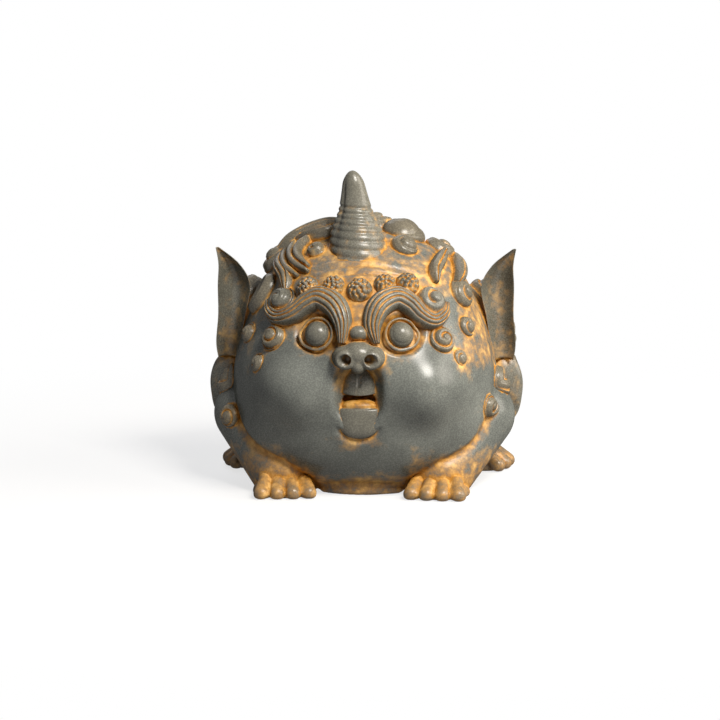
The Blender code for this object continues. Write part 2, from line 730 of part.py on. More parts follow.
def build_hair():
    """Locks and curls of temples, cheeks and flanks as the maker set them, then crown and mane."""
    cheek, crown, mane = CHEEK_CURL_RADIUS, CROWN_CURL_RADIUS, MANE_CURL_RADIUS
    left_line = [(88, 56), (70, 50), (58, 40), (53, 34)]
    right_line = [(-86, 52), (-76, 46), (-68, 38), (-65, 29)]
    crown_line = [(-50, 80), (-84, 77), (-90, 68), (-88, 59)]
    sides = [
        build_lock("left_temple_lock", left_line, LOCK_WIDTH, LOCK_HEIGHT),
        build_lock("right_temple_lock", right_line, LOCK_WIDTH, LOCK_HEIGHT),
        build_lock("right_crown_lock", crown_line, CROWN_LOCK_WIDTH, CROWN_LOCK_HEIGHT, 10),
        build_curl("left_cheek_curl", (38, 22), cheek),
        build_curl("right_cheek_curl", (-41, 22), cheek, -1),
        build_curl("left_upper_curl", (56, 26), 0.75 * cheek, -1),
        build_curl("right_upper_curl", (-61, 22), 0.75 * cheek),
        build_curl("left_lower_curl", (45, 14), 0.6 * cheek, -1),
        build_curl("right_lower_curl", (-46, 11), 0.66 * cheek),
        build_curl("left_shoulder_curl", (80, -1), 1.15 * cheek),
        build_curl("right_shoulder_curl", (-80, -2), 1.15 * cheek, -1),
        build_curl("left_flank_curl", (64, -8), 0.85 * cheek, -1),
        build_curl("right_flank_curl", (-67, -13), 0.85 * cheek),
        build_curl("left_nape_curl", (101, 14), 0.9 * mane, 1, 1.1),
        build_curl("right_nape_curl", (-101, 14), 0.9 * mane, -1, 1.1),
        build_curl("left_ruff_curl", (103, 29), 0.88 * mane, -1, 1.1),
        build_curl("right_ruff_curl", (-103, 29), 0.88 * mane, 1, 1.1),
        build_curl("left_side_curl", (94, 59), 0.95 * crown),
        build_curl("right_side_curl", (-90, 53), 0.9 * crown, -1),
    ]
    top = [
        build_curl("left_crown_curl", (92, 77), 1.1 * crown, 1, 0.7),
        build_curl("left_front_curl", (42, 66), 0.7 * crown, -1),
        build_curl("right_front_curl", (-38, 62), 0.5 * crown),
        build_curl("top_curl", (140, 84), 0.85 * mane),
    ]
    return sides + top + build_mane()


def build_mane():
    """Rows of curls down the back of the head, set between those of the row above."""
    mane = []
    for elevation, count, spread in ((60, 2, 62), (41, 3, 44), (22, 4, 34)):
        for index in range(count):
            azimuth = 180 + (index - (count - 1) / 2) * spread
            hand = 1 if azimuth > 180 else -1
            mane.append(build_curl(
                f"mane_curl_{len(mane) + 1}", (azimuth, elevation), MANE_CURL_RADIUS, hand))
    return mane


def build_ear():
    """Pointed ear on the left side of the head, cupped towards the front."""
    lean = ((1.9, 0.0), (1.7, 0.15), (0.7, 0.4), (0.0, 0.66), (1.4, 0.85), (4.7, 1.0))
    half = (0.4, 0.72, 0.84, 1.0, 0.65, 0.1)
    spine = [Vector((EAR_SPREAD + x * STEP, -EAR_FORWARD, EAR_RAISE + up * EAR_HEIGHT)) for x, up in lean]

    def shape(point):
        centre = curve_through(spine, point.z)
        reach = EAR_WIDTH / 2 * value_along(half, point.z)
        depth = EAR_CUP * value_along(half, point.z)
        wall = EAR_THICK * (0.35 + 0.65 * value_along(half, point.z))
        bow = abs(point.y)
        back = depth * bow if point.y > 0 else depth * bow - wall * (0.4 + 0.6 * bow)
        if bow < 1e-6:
            back = -0.2 * wall
        return centre + Vector((point.x * reach, back, 0))
    return new_solid("left_ear", reshape(tube_blank(12, 12), shape), "iron_glaze_relief")


# Wings, paws and tail

def build_wing():
    """Folded wing on the left flank: a fan of feathers that hangs from the shoulder."""
    root = ray_point(98, 8)
    ribs = 4 * FEATHER_COUNT
    sides = ribs + 5

    def shape(point):
        turn = round(math.degrees(math.atan2(point.y, point.x)) * sides / 360) % sides
        top = turn <= ribs
        fan = turn / ribs if top else (sides - turn - 0.5) / (sides - ribs - 1)
        swing = math.radians(WING_SWING * (fan - 0.12))
        scallop = abs(math.sin(math.pi * FEATHER_COUNT * fan))
        tip = 1.0 - 0.22 * (1 - scallop) if top else 0.85
        along = FEATHER_LENGTH * (0.04 + 0.96 * point.z) * tip * (1 - 0.12 * fan)
        back = root.y + along * math.sin(swing) + FEATHER_LENGTH * 0.4 * (fan - 0.2)
        height = root.z - along * math.cos(swing)
        flank = march(np.array([[0, back, height]]), np.array([LEFT]), 0.0, FAR_OFF)[0]
        if not top:
            return Vector((flank[0] - SINK, back, height))
        swell = value_along((0.55, 0.8, 0.95, 1.0, 0.85, 0.45), point.z)
        rise = WING_PROUD * swell * (0.72 + 0.28 * scallop) * (1 - 0.3 * fan)
        return Vector((flank[0] + rise, back, height))
    return new_solid("left_wing", reshape(tube_blank(sides, 7), shape), "iron_glaze_relief")


def stand_flat(solid):
    """Cut a solid off flat at the ground."""
    bm = bmesh.new()
    bm.from_mesh(solid.data)
    bmesh.ops.transform(bm, matrix=solid.matrix_world, verts=bm.verts[:])
    cut = bmesh.ops.bisect_plane(
        bm, geom=bm.verts[:] + bm.edges[:] + bm.faces[:], plane_co=(0, 0, 0), plane_no=UP, clear_inner=True)
    rim = [item for item in cut["geom_cut"] if isinstance(item, bmesh.types.BMEdge)]
    bmesh.ops.edgeloop_fill(bm, edges=rim)
    bm.to_mesh(solid.data)
    bm.free()
    solid.matrix_world = Matrix.Identity(4)


def build_paw(name, centre, heading, width, length, toes):
    """Paw with a rounded back and a row of toes, pointing along its heading in degrees."""
    turn = Matrix.Translation(centre) @ Matrix.Rotation(math.radians(heading), 4, "Z")
    bm = dome_blank(14, 8)
    size = Matrix.Diagonal((width / 2, length / 2, PAW_HEIGHT, 1.0))
    bmesh.ops.transform(bm, matrix=size, verts=bm.verts[:])
    paw = new_solid(name, bm, "rust_wash", turn)
    for index in range(toes):
        share = (index - (toes - 1) / 2) / max(toes - 1, 1)
        toe = dome_blank(8, 6)
        bulge = Matrix.Diagonal((TOE_RADIUS * 0.95, TOE_RADIUS * 1.5, TOE_RADIUS * 1.25, 1.0))
        bmesh.ops.transform(toe, matrix=bulge, verts=toe.verts[:])
        reach = length * (0.44 - 0.22 * share * share)
        spot = Matrix.Translation((share * width * 0.8, -reach, TOE_RADIUS * 0.7))
        fan = Matrix.Rotation(share * 0.7, 4, "Z")
        combine(paw, new_solid("toe", toe, "rust_wash", turn @ spot @ fan), "UNION")
    stand_flat(paw)
    return paw


def build_paws():
    """Front paws under the legs and hind paws that point out from the haunches."""
    front_place = Vector((PAW_SPREAD, -ANKLE_FORWARD - ANKLE_RADIUS * 0.65, 0))
    front = build_paw("left_front_paw", front_place, -6, PAW_WIDTH, PAW_LENGTH, TOE_COUNT)
    hind_place = Vector((HAUNCH_SPREAD + HAUNCH_RADIUS * 0.48, HAUNCH_BACK * 0.72, 0))
    hind = build_paw("left_hind_paw", hind_place, 70, PAW_WIDTH * 0.72, HIND_PAW_LENGTH, TOE_COUNT - 1)
    left = [front, hind]
    return left + [mirrored_copy(paw, paw.name.replace("left", "right")) for paw in left]


def build_tail():
    """Bushy tail laid up the back: tufts that fan from its root, the middle one tallest."""
    ribs = 4 * TUFT_COUNT
    sides = ribs + 5
    root_height = 0.1 * TAIL_HEIGHT

    def shape(point):
        turn = round(math.degrees(math.atan2(point.y, point.x)) * sides / 360) % sides
        top = turn <= ribs
        fan = turn / ribs if top else (sides - turn - 0.5) / (sides - ribs - 1)
        lean = 2 * fan - 1
        scallop = abs(math.sin(math.pi * TUFT_COUNT * fan))
        tip = 1.0 - 0.3 * (1 - scallop) if top else 0.85
        spread = TAIL_WIDTH / 2 * (0.45 + 0.55 * math.sin(0.75 * math.pi * point.z))
        aside = lean * spread
        rise = (TAIL_HEIGHT - root_height) * point.z * tip * (1 - 0.45 * lean * lean)
        height = root_height + rise
        back = march(np.array([[aside, 0.0, height]]), np.array([-FRONT]), 0.0, FAR_OFF)[0]
        if not top:
            return Vector((aside, back[1] - SINK, height))
        swell = value_along((0.6, 0.9, 1.0, 0.9, 0.7, 0.3), point.z)
        proud = TAIL_PROUD * swell * (0.6 + 0.4 * scallop) * (1 - 0.4 * lean * lean)
        return Vector((aside, back[1] + proud, height))
    return new_solid("tail", reshape(tube_blank(sides, 7), shape), "rust_hair_glaze")


def trim(pieces, skin_room):
    """Seat each piece: cut it to the skin of the body and to the pieces laid before it."""
    laid = []
    for piece in pieces:
        combine(piece, skin_room, "DIFFERENCE", keep_other=True)
        drop_offcuts(piece)
        for earlier in laid:
            if near_each_other(piece, earlier):
                combine(piece, grown_copy(earlier, SLIP_GAP), "DIFFERENCE")
                drop_offcuts(piece)
        laid.append(piece)


def box_centre_shift(solids):
    """Move that brings the middle of the statue's box over the origin, with its foot on the ground."""
    lows, highs = zip(*(corners(solid) for solid in solids))
    low, high = np.min(lows, axis=0), np.max(highs, axis=0)
    return Vector((-(low[0] + high[0]) / 2, -(low[1] + high[1]) / 2, -low[2]))


def finish_shading(solid):
    """Smooth shading, with the true edges kept."""
    solid.data.shade_smooth()
    solid.data.set_sharp_from_angle(angle=math.radians(50))


def main():
    """Build the statue."""
    for leftover in list(bpy.data.objects):
        bpy.data.objects.remove(leftover, do_unlink=True)
    statue = bpy.data.objects.new("pixiu_statue", None)
    bpy.context.scene.collection.objects.link(statue)

    body = build_skin()
    skin_room = grown_copy(body, SLIP_GAP)
    hollow_out(body)
    plate = build_base_plate()

    horn = build_horn()
    left_eyeball, left_lid = build_eye()
    left_ear = build_ear()
    left_wing = build_wing()
    lefts = [left_eyeball, left_lid, left_ear, left_wing]
    rights = [mirrored_copy(piece, piece.name.replace("left", "right")) for piece in lefts]
    pieces = [horn] + build_brows() + lefts + rights + [build_nose()]
    pieces += build_lips() + build_beads() + build_paws() + build_hair() + [build_tail()]
    trim(pieces, skin_room)
    bpy.data.objects.remove(skin_room, do_unlink=True)

    solids = [body, plate] + pieces
    for solid in solids:
        finish_shading(solid)
        solid.parent = statue
    statue.location = box_centre_shift(solids)


if __name__ == "__main__":
    main()
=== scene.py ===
"""Pixiu statue in iron-rust glazed stoneware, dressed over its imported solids.

Every piece is shaped in millimetres in the statue's own frame (face towards -Y, its left side on
+X, foot on Z = 0) and is carried into the shared frame, in metres, when it is handed over.
"""

import logging
import math
from dataclasses import dataclass, field
from enum import Enum
from typing import Callable, Sequence

import bmesh
import bpy
import numpy as np
from mathutils import Matrix, Vector
from mathutils.bvhtree import BVHTree


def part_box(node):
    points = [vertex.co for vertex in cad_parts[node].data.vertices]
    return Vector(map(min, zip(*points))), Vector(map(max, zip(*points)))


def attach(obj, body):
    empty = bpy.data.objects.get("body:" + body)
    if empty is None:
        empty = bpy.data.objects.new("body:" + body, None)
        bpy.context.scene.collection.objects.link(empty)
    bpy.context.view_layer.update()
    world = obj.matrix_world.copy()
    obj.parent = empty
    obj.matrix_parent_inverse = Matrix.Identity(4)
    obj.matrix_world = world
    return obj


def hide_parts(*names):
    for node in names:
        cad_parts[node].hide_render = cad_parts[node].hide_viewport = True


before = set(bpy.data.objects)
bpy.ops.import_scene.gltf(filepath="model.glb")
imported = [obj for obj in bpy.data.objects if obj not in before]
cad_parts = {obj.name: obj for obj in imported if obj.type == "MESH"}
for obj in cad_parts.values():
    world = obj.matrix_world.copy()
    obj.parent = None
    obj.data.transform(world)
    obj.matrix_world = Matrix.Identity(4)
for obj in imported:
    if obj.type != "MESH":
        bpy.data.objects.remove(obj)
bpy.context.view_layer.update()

LOG = logging.getLogger("pixiu_statue")
MM = 0.001
HALVINGS = 26
GOLDEN_TURN = 2.39996
Array = np.ndarray
Blank = bmesh.types.BMesh
Tree = bpy.types.NodeTree
Socket = bpy.types.NodeSocket
Shape = Callable[[Array], Array]
Spot = tuple[float, float]
Triple = tuple[float, float, float]
FRONT, LEFT, UP = np.array([0.0, -1.0, 0.0]), np.array([1.0, 0.0, 0.0]), np.array([0.0, 0.0, 1.0])


class Slot(Enum):
    """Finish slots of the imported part."""

    BODY = "iron_glaze"
    RELIEF = "iron_glaze_relief"
    HAIR = "rust_hair_glaze"
    PAW = "rust_wash"
    FOOT = "bare_clay"


# Numbers and curves

def smooth_step(low: float, high: float, value: Array) -> Array:
    """Ease values from 0 at low to 1 at high."""
    share = np.clip((value - low) / (high - low), 0.0, 1.0)
    return share * share * (3.0 - 2.0 * share)


def bell(away: Array, width: float) -> Array:
    """Section of a tool stroke: 1 in its middle, next to nothing beyond twice its width."""
    return np.exp(-(away / width) ** 2)


def smooth_min(first: Array, second: Array, blend: float) -> Array:
    """Unite two distance fields with a fillet."""
    overlap = np.maximum(blend - np.abs(first - second), 0.0) / blend
    return np.minimum(first, second) - overlap * overlap * blend / 4.0


def carve(whole: Array, tool: Array, blend: float) -> Array:
    """Take one distance field out of another, with a fillet."""
    return -smooth_min(-whole, tool, blend)


def on_left(points: Array) -> Array:
    """Places brought to the left of the middle plane."""
    return np.column_stack([np.abs(points[:, 0]), points[:, 1:]])


def unit(vectors: Array) -> Array:
    """Vectors scaled to length 1."""
    return vectors / np.maximum(np.linalg.norm(vectors, axis=-1, keepdims=True), 1e-12)


def ball(points: Array, centre: Sequence[float], radii: Sequence[float], fullness: float = 2.0) -> Array:
    """Distance, close to the surface, to an ellipsoid.

    Args:
        points: Places to measure from.
        centre: Middle of the ellipsoid.
        radii: Half of its size along each axis.
        fullness: Above 2 it is filled out towards the corners of its box.

    Returns:
        Distances, negative inside.
    """
    scaled = np.abs((points - np.array(centre)) / np.array(radii))
    near = np.maximum((scaled ** fullness).sum(axis=1) ** (1.0 / fullness), 1e-9)
    slope = np.linalg.norm((scaled / near[:, None]) ** (fullness - 1.0) / np.array(radii), axis=1)
    return (near - 1.0) / np.maximum(slope, 1e-9)


def limb(points: Array, start: Sequence[float], end: Sequence[float], radii: Spot) -> Array:
    """Distance to a limb that tapers from one ball to another.

    Args:
        points: Places to measure from.
        start: Middle of the first ball.
        end: Middle of the second ball.
        radii: Radius of each ball.

    Returns:
        Distances, negative inside.
    """
    root = np.array(start)
    along = np.array(end) - root
    share = np.clip((points - root) @ along / (along @ along), 0.0, 1.0)
    radius = radii[0] + share * (radii[1] - radii[0])
    return np.linalg.norm(points - root - share[:, None] * along, axis=1) - radius


def march(distance: Shape, starts: Array, rays: Array, near: float, far: float) -> Array:
    """Find the places where lines leave a form, by halving.

    Args:
        distance: Distance field of the form.
        starts: Starts of the lines, or one for all.
        rays: Unit directions of the lines, or one for all.
        near: Distance along the lines that is inside.
        far: Distance along the lines that is outside.

    Returns:
        One place on the skin of the form per line.
    """
    starts, rays = np.broadcast_arrays(starts, rays)
    low, high = np.full(len(rays), float(near)), np.full(len(rays), float(far))
    for _ in range(HALVINGS):
        middle = (low + high) / 2
        outside = distance(starts + rays * middle[:, None]) > 0
        low, high = np.where(outside, low, middle), np.where(outside, middle, high)
    return starts + rays * high[:, None]


def curve_through(points: Array, shares: Array) -> Array:
    """Places on a smooth curve through points.

    Args:
        points: Points that the curve passes, one per row.
        shares: How far along, from 0 to 1.

    Returns:
        One place per share.
    """
    last = len(points) - 1
    place = np.clip(shares, 0.0, 1.0) * last
    index = np.minimum(place.astype(int), last - 1)
    part = (place - index)[:, None]
    before, start, end, after = (points[np.clip(index + step, 0, last)] for step in (-1, 0, 1, 2))
    bend, leave = (end - before) * 0.5, (after - start) * 0.5
    square, cube = part * part, part * part * part
    return (start * (2 * cube - 3 * square + 1) + bend * (cube - 2 * square + part)
            + end * (3 * square - 2 * cube) + leave * (cube - square))


def along_values(values: Sequence[float], shares: Array) -> Array:
    """Values on a smooth curve through evenly spaced ones."""
    return curve_through(np.array(values, dtype=float)[:, None], shares)[:, 0]


def even_stain(amount: float) -> Shape:
    """Stain of the same strength all over a piece."""
    return lambda points: np.full(len(points), amount)


# Clay

def dome_blank(around: int, rows: int) -> Blank:
    """Unit ball with its poles on Z.

    Args:
        around: Segments round the axis.
        rows: Segments from pole to pole.

    Returns:
        The blank.
    """
    bm = bmesh.new()
    bmesh.ops.create_uvsphere(bm, u_segments=around, v_segments=rows, radius=1.0)
    return bm


def ball_blank(subdivisions: int) -> Blank:
    """Unit ball of even triangles.

    Args:
        subdivisions: How often the triangles are split.

    Returns:
        The blank.
    """
    bm = bmesh.new()
    bmesh.ops.create_icosphere(bm, subdivisions=subdivisions, radius=1.0)
    return bm


def tube_blank(sides: int, rings: int) -> Blank:
    """Unit tube along Z from 0 to 1 with closed ends.

    Args:
        sides: Segments round the axis.
        rings: Segments along the axis.

    Returns:
        The blank.
    """
    bm = bmesh.new()
    bmesh.ops.create_cone(
        bm, cap_ends=True, cap_tris=True, segments=sides, radius1=1.0, radius2=1.0, depth=1.0,
        matrix=Matrix.Translation((0, 0, 0.5)))
    uprights = [edge for edge in bm.edges if abs(edge.verts[0].co.z - edge.verts[1].co.z) > 0.5]
    bmesh.ops.subdivide_edges(bm, edges=uprights, cuts=rings - 1)
    return bm


def places_of(bm: Blank) -> Array:
    """Places of all vertices, one per row."""
    return np.array([vertex.co for vertex in bm.verts])


def reshape(bm: Blank, shape: Shape) -> Blank:
    """Move the vertices of a blank to the places that a shape gives them.

    Args:
        bm: Blank to shape.
        shape: Gives the new places for the old ones.

    Returns:
        The same blank, shaped.
    """
    for vertex, place in zip(bm.verts, shape(places_of(bm))):
        vertex.co = place
    return bm


def press_together(blanks: Sequence[Blank]) -> Blank:
    """Collect several shaped blanks in one piece.

    Args:
        blanks: Blanks to collect; all but the first are used up.

    Returns:
        The first blank with the others in it.
    """
    whole = blanks[0]
    for blank in blanks[1:]:
        carrier = bpy.data.meshes.new("carrier")
        blank.to_mesh(carrier)
        blank.free()
        whole.from_mesh(carrier)
        bpy.data.meshes.remove(carrier)
    return whole


@dataclass
class Clay:
    """One luted piece on its way from blank to finished object."""

    node: str
    slot: Slot
    bm: Blank
    stain: Shape = even_stain(0.0)

    def mirrored(self) -> "Clay":
        """The piece of the statue's right side.

        Returns:
            A mirrored copy that replaces the right node.
        """
        bm = self.bm.copy()
        bmesh.ops.scale(bm, vec=(-1, 1, 1), verts=bm.verts[:])
        bmesh.ops.reverse_faces(bm, faces=bm.faces[:])
        return Clay(self.node.replace("left", "right"), self.slot, bm, self.stain)

    def close_up(self) -> None:
        """Merge doubles, turn all faces outward and make them smooth."""
        bmesh.ops.remove_doubles(self.bm, verts=self.bm.verts[:], dist=0.002)
        bmesh.ops.recalc_face_normals(self.bm, faces=self.bm.faces[:])
        bmesh.ops.triangulate(self.bm, faces=[face for face in self.bm.faces if len(face.verts) > 4])
        for face in self.bm.faces:
            face.smooth = True
        self.bm.normal_update()

    def hand_over(self, shift: Vector, hollows: Array, material: bpy.types.Material) -> bpy.types.Object:
        """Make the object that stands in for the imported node.

        Args:
            shift: Place of the statue's own origin in the shared frame, in metres.
            hollows: Crevice and hollow value per vertex.
            material: Finish of the piece.

        Returns:
            The finished object.
        """
        stains = self.stain(places_of(self.bm))
        bmesh.ops.scale(self.bm, vec=(MM, MM, MM), verts=self.bm.verts[:])
        bmesh.ops.translate(self.bm, vec=shift, verts=self.bm.verts[:])
        mesh = bpy.data.meshes.new(self.node + "_clay")
        self.bm.to_mesh(mesh)
        self.bm.free()
        for title, values in (("crevice", hollows[:, 0]), ("hollow", hollows[:, 1]), ("stain", stains)):
            store = mesh.attributes.new(title, "FLOAT", "POINT")
            store.data.foreach_set("value", values.astype(np.float32))
        mesh.materials.append(material)
        piece = bpy.data.objects.new(self.node + "_clay", mesh)
        bpy.context.scene.collection.objects.link(piece)
        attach(piece, "root")
        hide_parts(self.node)
        return piece


# The form of the body

@dataclass(frozen=True)
class Seat:
    """Place on the skin with its own side, up and outward directions."""

    point: Array
    side: Array
    up: Array
    out: Array

    def place(self, local: Array) -> Array:
        """Carry places from the seat's own directions to the statue."""
        return self.point + local @ np.stack([self.side, self.up, self.out])

    def turned(self, degrees: float) -> "Seat":
        """The same seat, spun about its outward direction, against the clock when seen from outside."""
        c, s = math.cos(math.radians(degrees)), math.sin(math.radians(degrees))
        return Seat(self.point, c * self.side + s * self.up, c * self.up - s * self.side, self.out)


@dataclass
class BodyForm:
    """Rounded form of head, cheeks, trunk, legs and haunches, given on the left side."""

    heart: Array = field(default_factory=lambda: np.array([0.0, -2.0, 30.0]))
    head: tuple = ((0, -7, 38), (33.5, 31, 32.5))
    crown: tuple = ((0, -2, 50), (30, 24, 21.5))
    ruff: tuple = ((0, 9, 44), (38.5, 20, 17))
    jaw: tuple = ((0, -7, 26), (37, 30, 27), 2.5)
    cheek: tuple = ((16.6, -26.8, 31.5), (12.5, 13.7, 12))
    channel: tuple = ((0, -39.8, 34), (0, -39.8, 28), (6.6, 6.6))
    trunk: tuple = ((0, 5, 25), (37.5, 34, 30))
    haunch: tuple = ((25, 17, 18), (15, 17.25, 18))
    belly: tuple = ((0, 0, 0), (24, 27.5, 12))
    leg: tuple = ((33, -9, 20), (22, -19.8, 6), (10, 9.8))
    crown_blend: float = 6.0
    ruff_blend: float = 3.0
    jaw_blend: float = 8.0
    cheek_blend: float = 4.0
    channel_blend: float = 2.0
    trunk_blend: float = 5.0
    haunch_blend: float = 3.0
    limb_blend: float = 1.2
    foot_round: float = 1.2

    def distance(self, points: Array) -> Array:
        """Distance from places to the skin.

        Args:
            points: Places to measure from.

        Returns:
            Distances, negative inside the body.
        """
        sided = on_left(points)
        hull = self.front(sided)
        for lump, blend in ((self.trunk, self.trunk_blend), (self.haunch, self.haunch_blend),
                            (self.belly, self.limb_blend)):
            hull = smooth_min(hull, ball(sided, *lump), blend)
        hull = smooth_min(hull, limb(sided, *self.leg), self.limb_blend)
        return carve(hull, sided[:, 2], self.foot_round)

    def front(self, sided: Array) -> Array:
        """Distance to the head with its jaw and cheeks.

        Args:
            sided: Places to measure from, brought to the left side.

        Returns:
            Distances, negative inside.
        """
        face = ball(sided, *self.head)
        for lump, blend in ((self.crown, self.crown_blend), (self.ruff, self.ruff_blend),
                            (self.jaw, self.jaw_blend), (self.cheek, self.cheek_blend)):
            face = smooth_min(face, ball(sided, *lump), blend)
        return carve(face, limb(sided, *self.channel), self.channel_blend)

    def crease(self, points: Array) -> Array:
        """How far places on the skin lie from the crease between jaw and front leg."""
        sided = on_left(points)
        return np.abs(self.front(sided) - limb(sided, *self.leg))

    def leave(self, starts: Array, rays: Array, near: float = 0.0, far: float = 70.0) -> Array:
        """Places where lines from inside the body leave its skin."""
        return march(self.distance, starts, rays, near, far)

    def from_heart(self, rays: Array) -> Array:
        """Places where lines from the heart leave the skin."""
        return self.leave(self.heart, rays, 5.0, 80.0)

    def outward(self, points: Array) -> Array:
        """Unit outward directions of the skin, one per place."""
        steps = 0.05 * np.eye(3)
        return unit(np.stack([self.distance(points + s) - self.distance(points - s) for s in steps], axis=1))

    def face(self, x: Array, z: Array) -> Array:
        """Skin seen at places on the face, looking straight at the statue.

        Args:
            x: Places across.
            z: Heights.

        Returns:
            One place on the skin per pair.
        """
        x, z = np.atleast_1d(np.asarray(x, float)), np.atleast_1d(np.asarray(z, float))
        starts = np.stack([x, np.full(len(x), -5.0), z], axis=1)
        return self.leave(starts, FRONT, 0.0, 60.0)

    def ray(self, azimuth: float, elevation: float) -> Array:
        """Skin in a direction from the heart; azimuth 0 is the face, 90 the left side.

        Args:
            azimuth: Degrees round the statue.
            elevation: Degrees above level.

        Returns:
            The place on the skin.
        """
        turn, rise = math.radians(azimuth), math.radians(elevation)
        flat = math.cos(rise)
        return self.from_heart(np.array([[math.sin(turn) * flat, -math.cos(turn) * flat, math.sin(rise)]]))[0]

    def seat(self, point: Array) -> Seat:
        """Directions at a place on the skin.

        Args:
            point: Place on the skin.

        Returns:
            The seat there, its up direction along the skin.
        """
        out = self.outward(point[None, :])[0]
        upward = UP if abs(out[2]) < 0.95 else FRONT
        side = unit(np.cross(upward, out))
        return Seat(point, side, np.cross(out, side), out)

    def lay(self, points: Array, out: Array, rise: Array) -> Array:
        """Drop places near the skin onto it along outward directions, and raise them from it."""
        feet = self.leave(points - out * 14.0, out, 0.0, 26.0)
        return feet + unit(self.outward(feet) + out) * rise[:, None]

    def drape(self, seat: Seat, flat: Array, rise: Array) -> Array:
        """Lay a flat pattern on the skin round a seat and raise it."""
        return self.lay(seat.point + flat @ np.stack([seat.side, seat.up]), seat.out, rise)


@dataclass
class Body:
    """Press-moulded body with the strokes that the maker's tool left in the soft clay.

    An eye socket is given by its place across, height, half width and half height, the mouth and
    the chin by height, half width and half height.
    """

    form: BodyForm
    fineness: int = 7
    face_depth: float = -15.0
    socket: tuple[float, float, float, float] = (11.5, 46.8, 6.6, 5.6)
    socket_depth: float = 1.6
    mouth: Triple = (28.5, 4.5, 2.1)
    mouth_depth: float = 3.4
    chin: Triple = (22.4, 5.9, 5.0)
    smile_depth: float = 0.9
    ripple_depth: float = 0.28
    ripple_pitch: float = 1.9
    fold_depth: float = 0.8

    def fold(self, points: Array, width: float, top: float) -> Array:
        """Strength of the crease between jaw and front leg.

        Args:
            points: Places on the skin.
            width: How broad the crease is.
            top: Height at which it has run out.

        Returns:
            Strength from 0 to 1 per place.
        """
        crease = bell(self.form.crease(points), width)
        low, ahead = smooth_step(top, top - 6, points[:, 2]), smooth_step(-4, -12, points[:, 1])
        return crease * low * ahead

    def strokes(self, points: Array) -> Array:
        """Depth of the tool strokes at places on the skin.

        Args:
            points: Places on the skin.

        Returns:
            Depth to press in, per place.
        """
        x, z = np.abs(points[:, 0]), points[:, 2]
        eye_x, eye_z, eye_w, eye_h = self.socket
        mouth_z, mouth_w, mouth_h = self.mouth
        chin_z, chin_w, chin_h = self.chin
        socket = smooth_step(1.08, 0.72, np.hypot((x - eye_x) / eye_w, (z - eye_z) / eye_h))
        above = (z - mouth_z) / mouth_h
        slit = smooth_step(1.1, 0.6, np.hypot(x / mouth_w, above)) * smooth_step(-1.3, 0.6, above)
        edge = (np.hypot(x / chin_w, (z - chin_z) / chin_h) - 1.0) * chin_h
        smile = bell(edge, 0.6) * smooth_step(chin_z - 0.5, chin_z - 2.5, z)
        ripple = np.cos(2.0 * math.pi * (z + 0.012 * x * x) / self.ripple_pitch)
        ripple *= smooth_step(60.6, 61.6, z) * smooth_step(67, 65, z) * smooth_step(19, 13, x)
        depth = (self.socket_depth * socket + self.mouth_depth * slit + self.smile_depth * smile
                 + self.ripple_depth * ripple)
        front = smooth_step(-14.0, -22.0, points[:, 1])
        return depth * front + self.fold_depth * self.fold(points, 0.9, 26)

    def stains(self, points: Array) -> Array:
        """Where the rust glaze was laid on more broadly.

        Args:
            points: Places on the skin.

        Returns:
            Strength from 0 to 1 per place.
        """
        x, y, z = np.abs(points[:, 0]), points[:, 1], points[:, 2]
        eyes = 0.6 * smooth_step(12.5, 6.0, np.hypot(x - self.socket[0], (z - self.socket[1]) * 1.25))
        bridge = 0.7 * smooth_step(9.5, 3.5, np.hypot(x * 0.8, (z - 38.5) * 0.62))
        root = 0.9 * smooth_step(7.5, 3.0, x) * smooth_step(43, 47, z)
        chin = 0.75 * smooth_step(6.5, 2.0, np.hypot(x * 0.55, z - 17.2))
        mouth = smooth_step(1.5, 0.8, np.hypot(x / 4.6, (z - 27.4) / 2.2))
        face = np.maximum.reduce([eyes, bridge, root, chin, mouth]) * (y < self.face_depth)
        brow = 0.75 * smooth_step(52, 58, z)
        left_more = 1.0 + 0.9 * smooth_step(0, 20, points[:, 0])
        temple = 0.45 * smooth_step(22, 30, x) * smooth_step(30, 38, z) * left_more
        leg = 0.95 * smooth_step(20, 7, z) * smooth_step(8, 18, x) * smooth_step(-6, -16, y)
        foot = 0.95 * smooth_step(11, 3, z)
        flank = 0.5 * smooth_step(-8, 6, y)
        return np.maximum.reduce([face, brow, temple, leg, foot, flank, self.fold(points, 2.0, 27)])

    def build(self) -> Clay:
        """Form the body.

        Returns:
            The body piece.
        """
        bm = ball_blank(self.fineness)
        fine = [edge for edge in bm.edges if all(
            v.co.y < -0.55 and abs(v.co.x) < 0.62 and -0.25 < v.co.z < 0.9 for v in edge.verts)]
        bmesh.ops.subdivide_edges(bm, edges=fine, cuts=1, use_grid_fill=True)

        def shape(points: Array) -> Array:
            """Skin under its tool strokes."""
            skin = self.form.from_heart(unit(points))
            return skin - self.form.outward(skin) * self.strokes(skin)[:, None]
        return Clay("body_shell", Slot.BODY, reshape(bm, shape), self.stains)


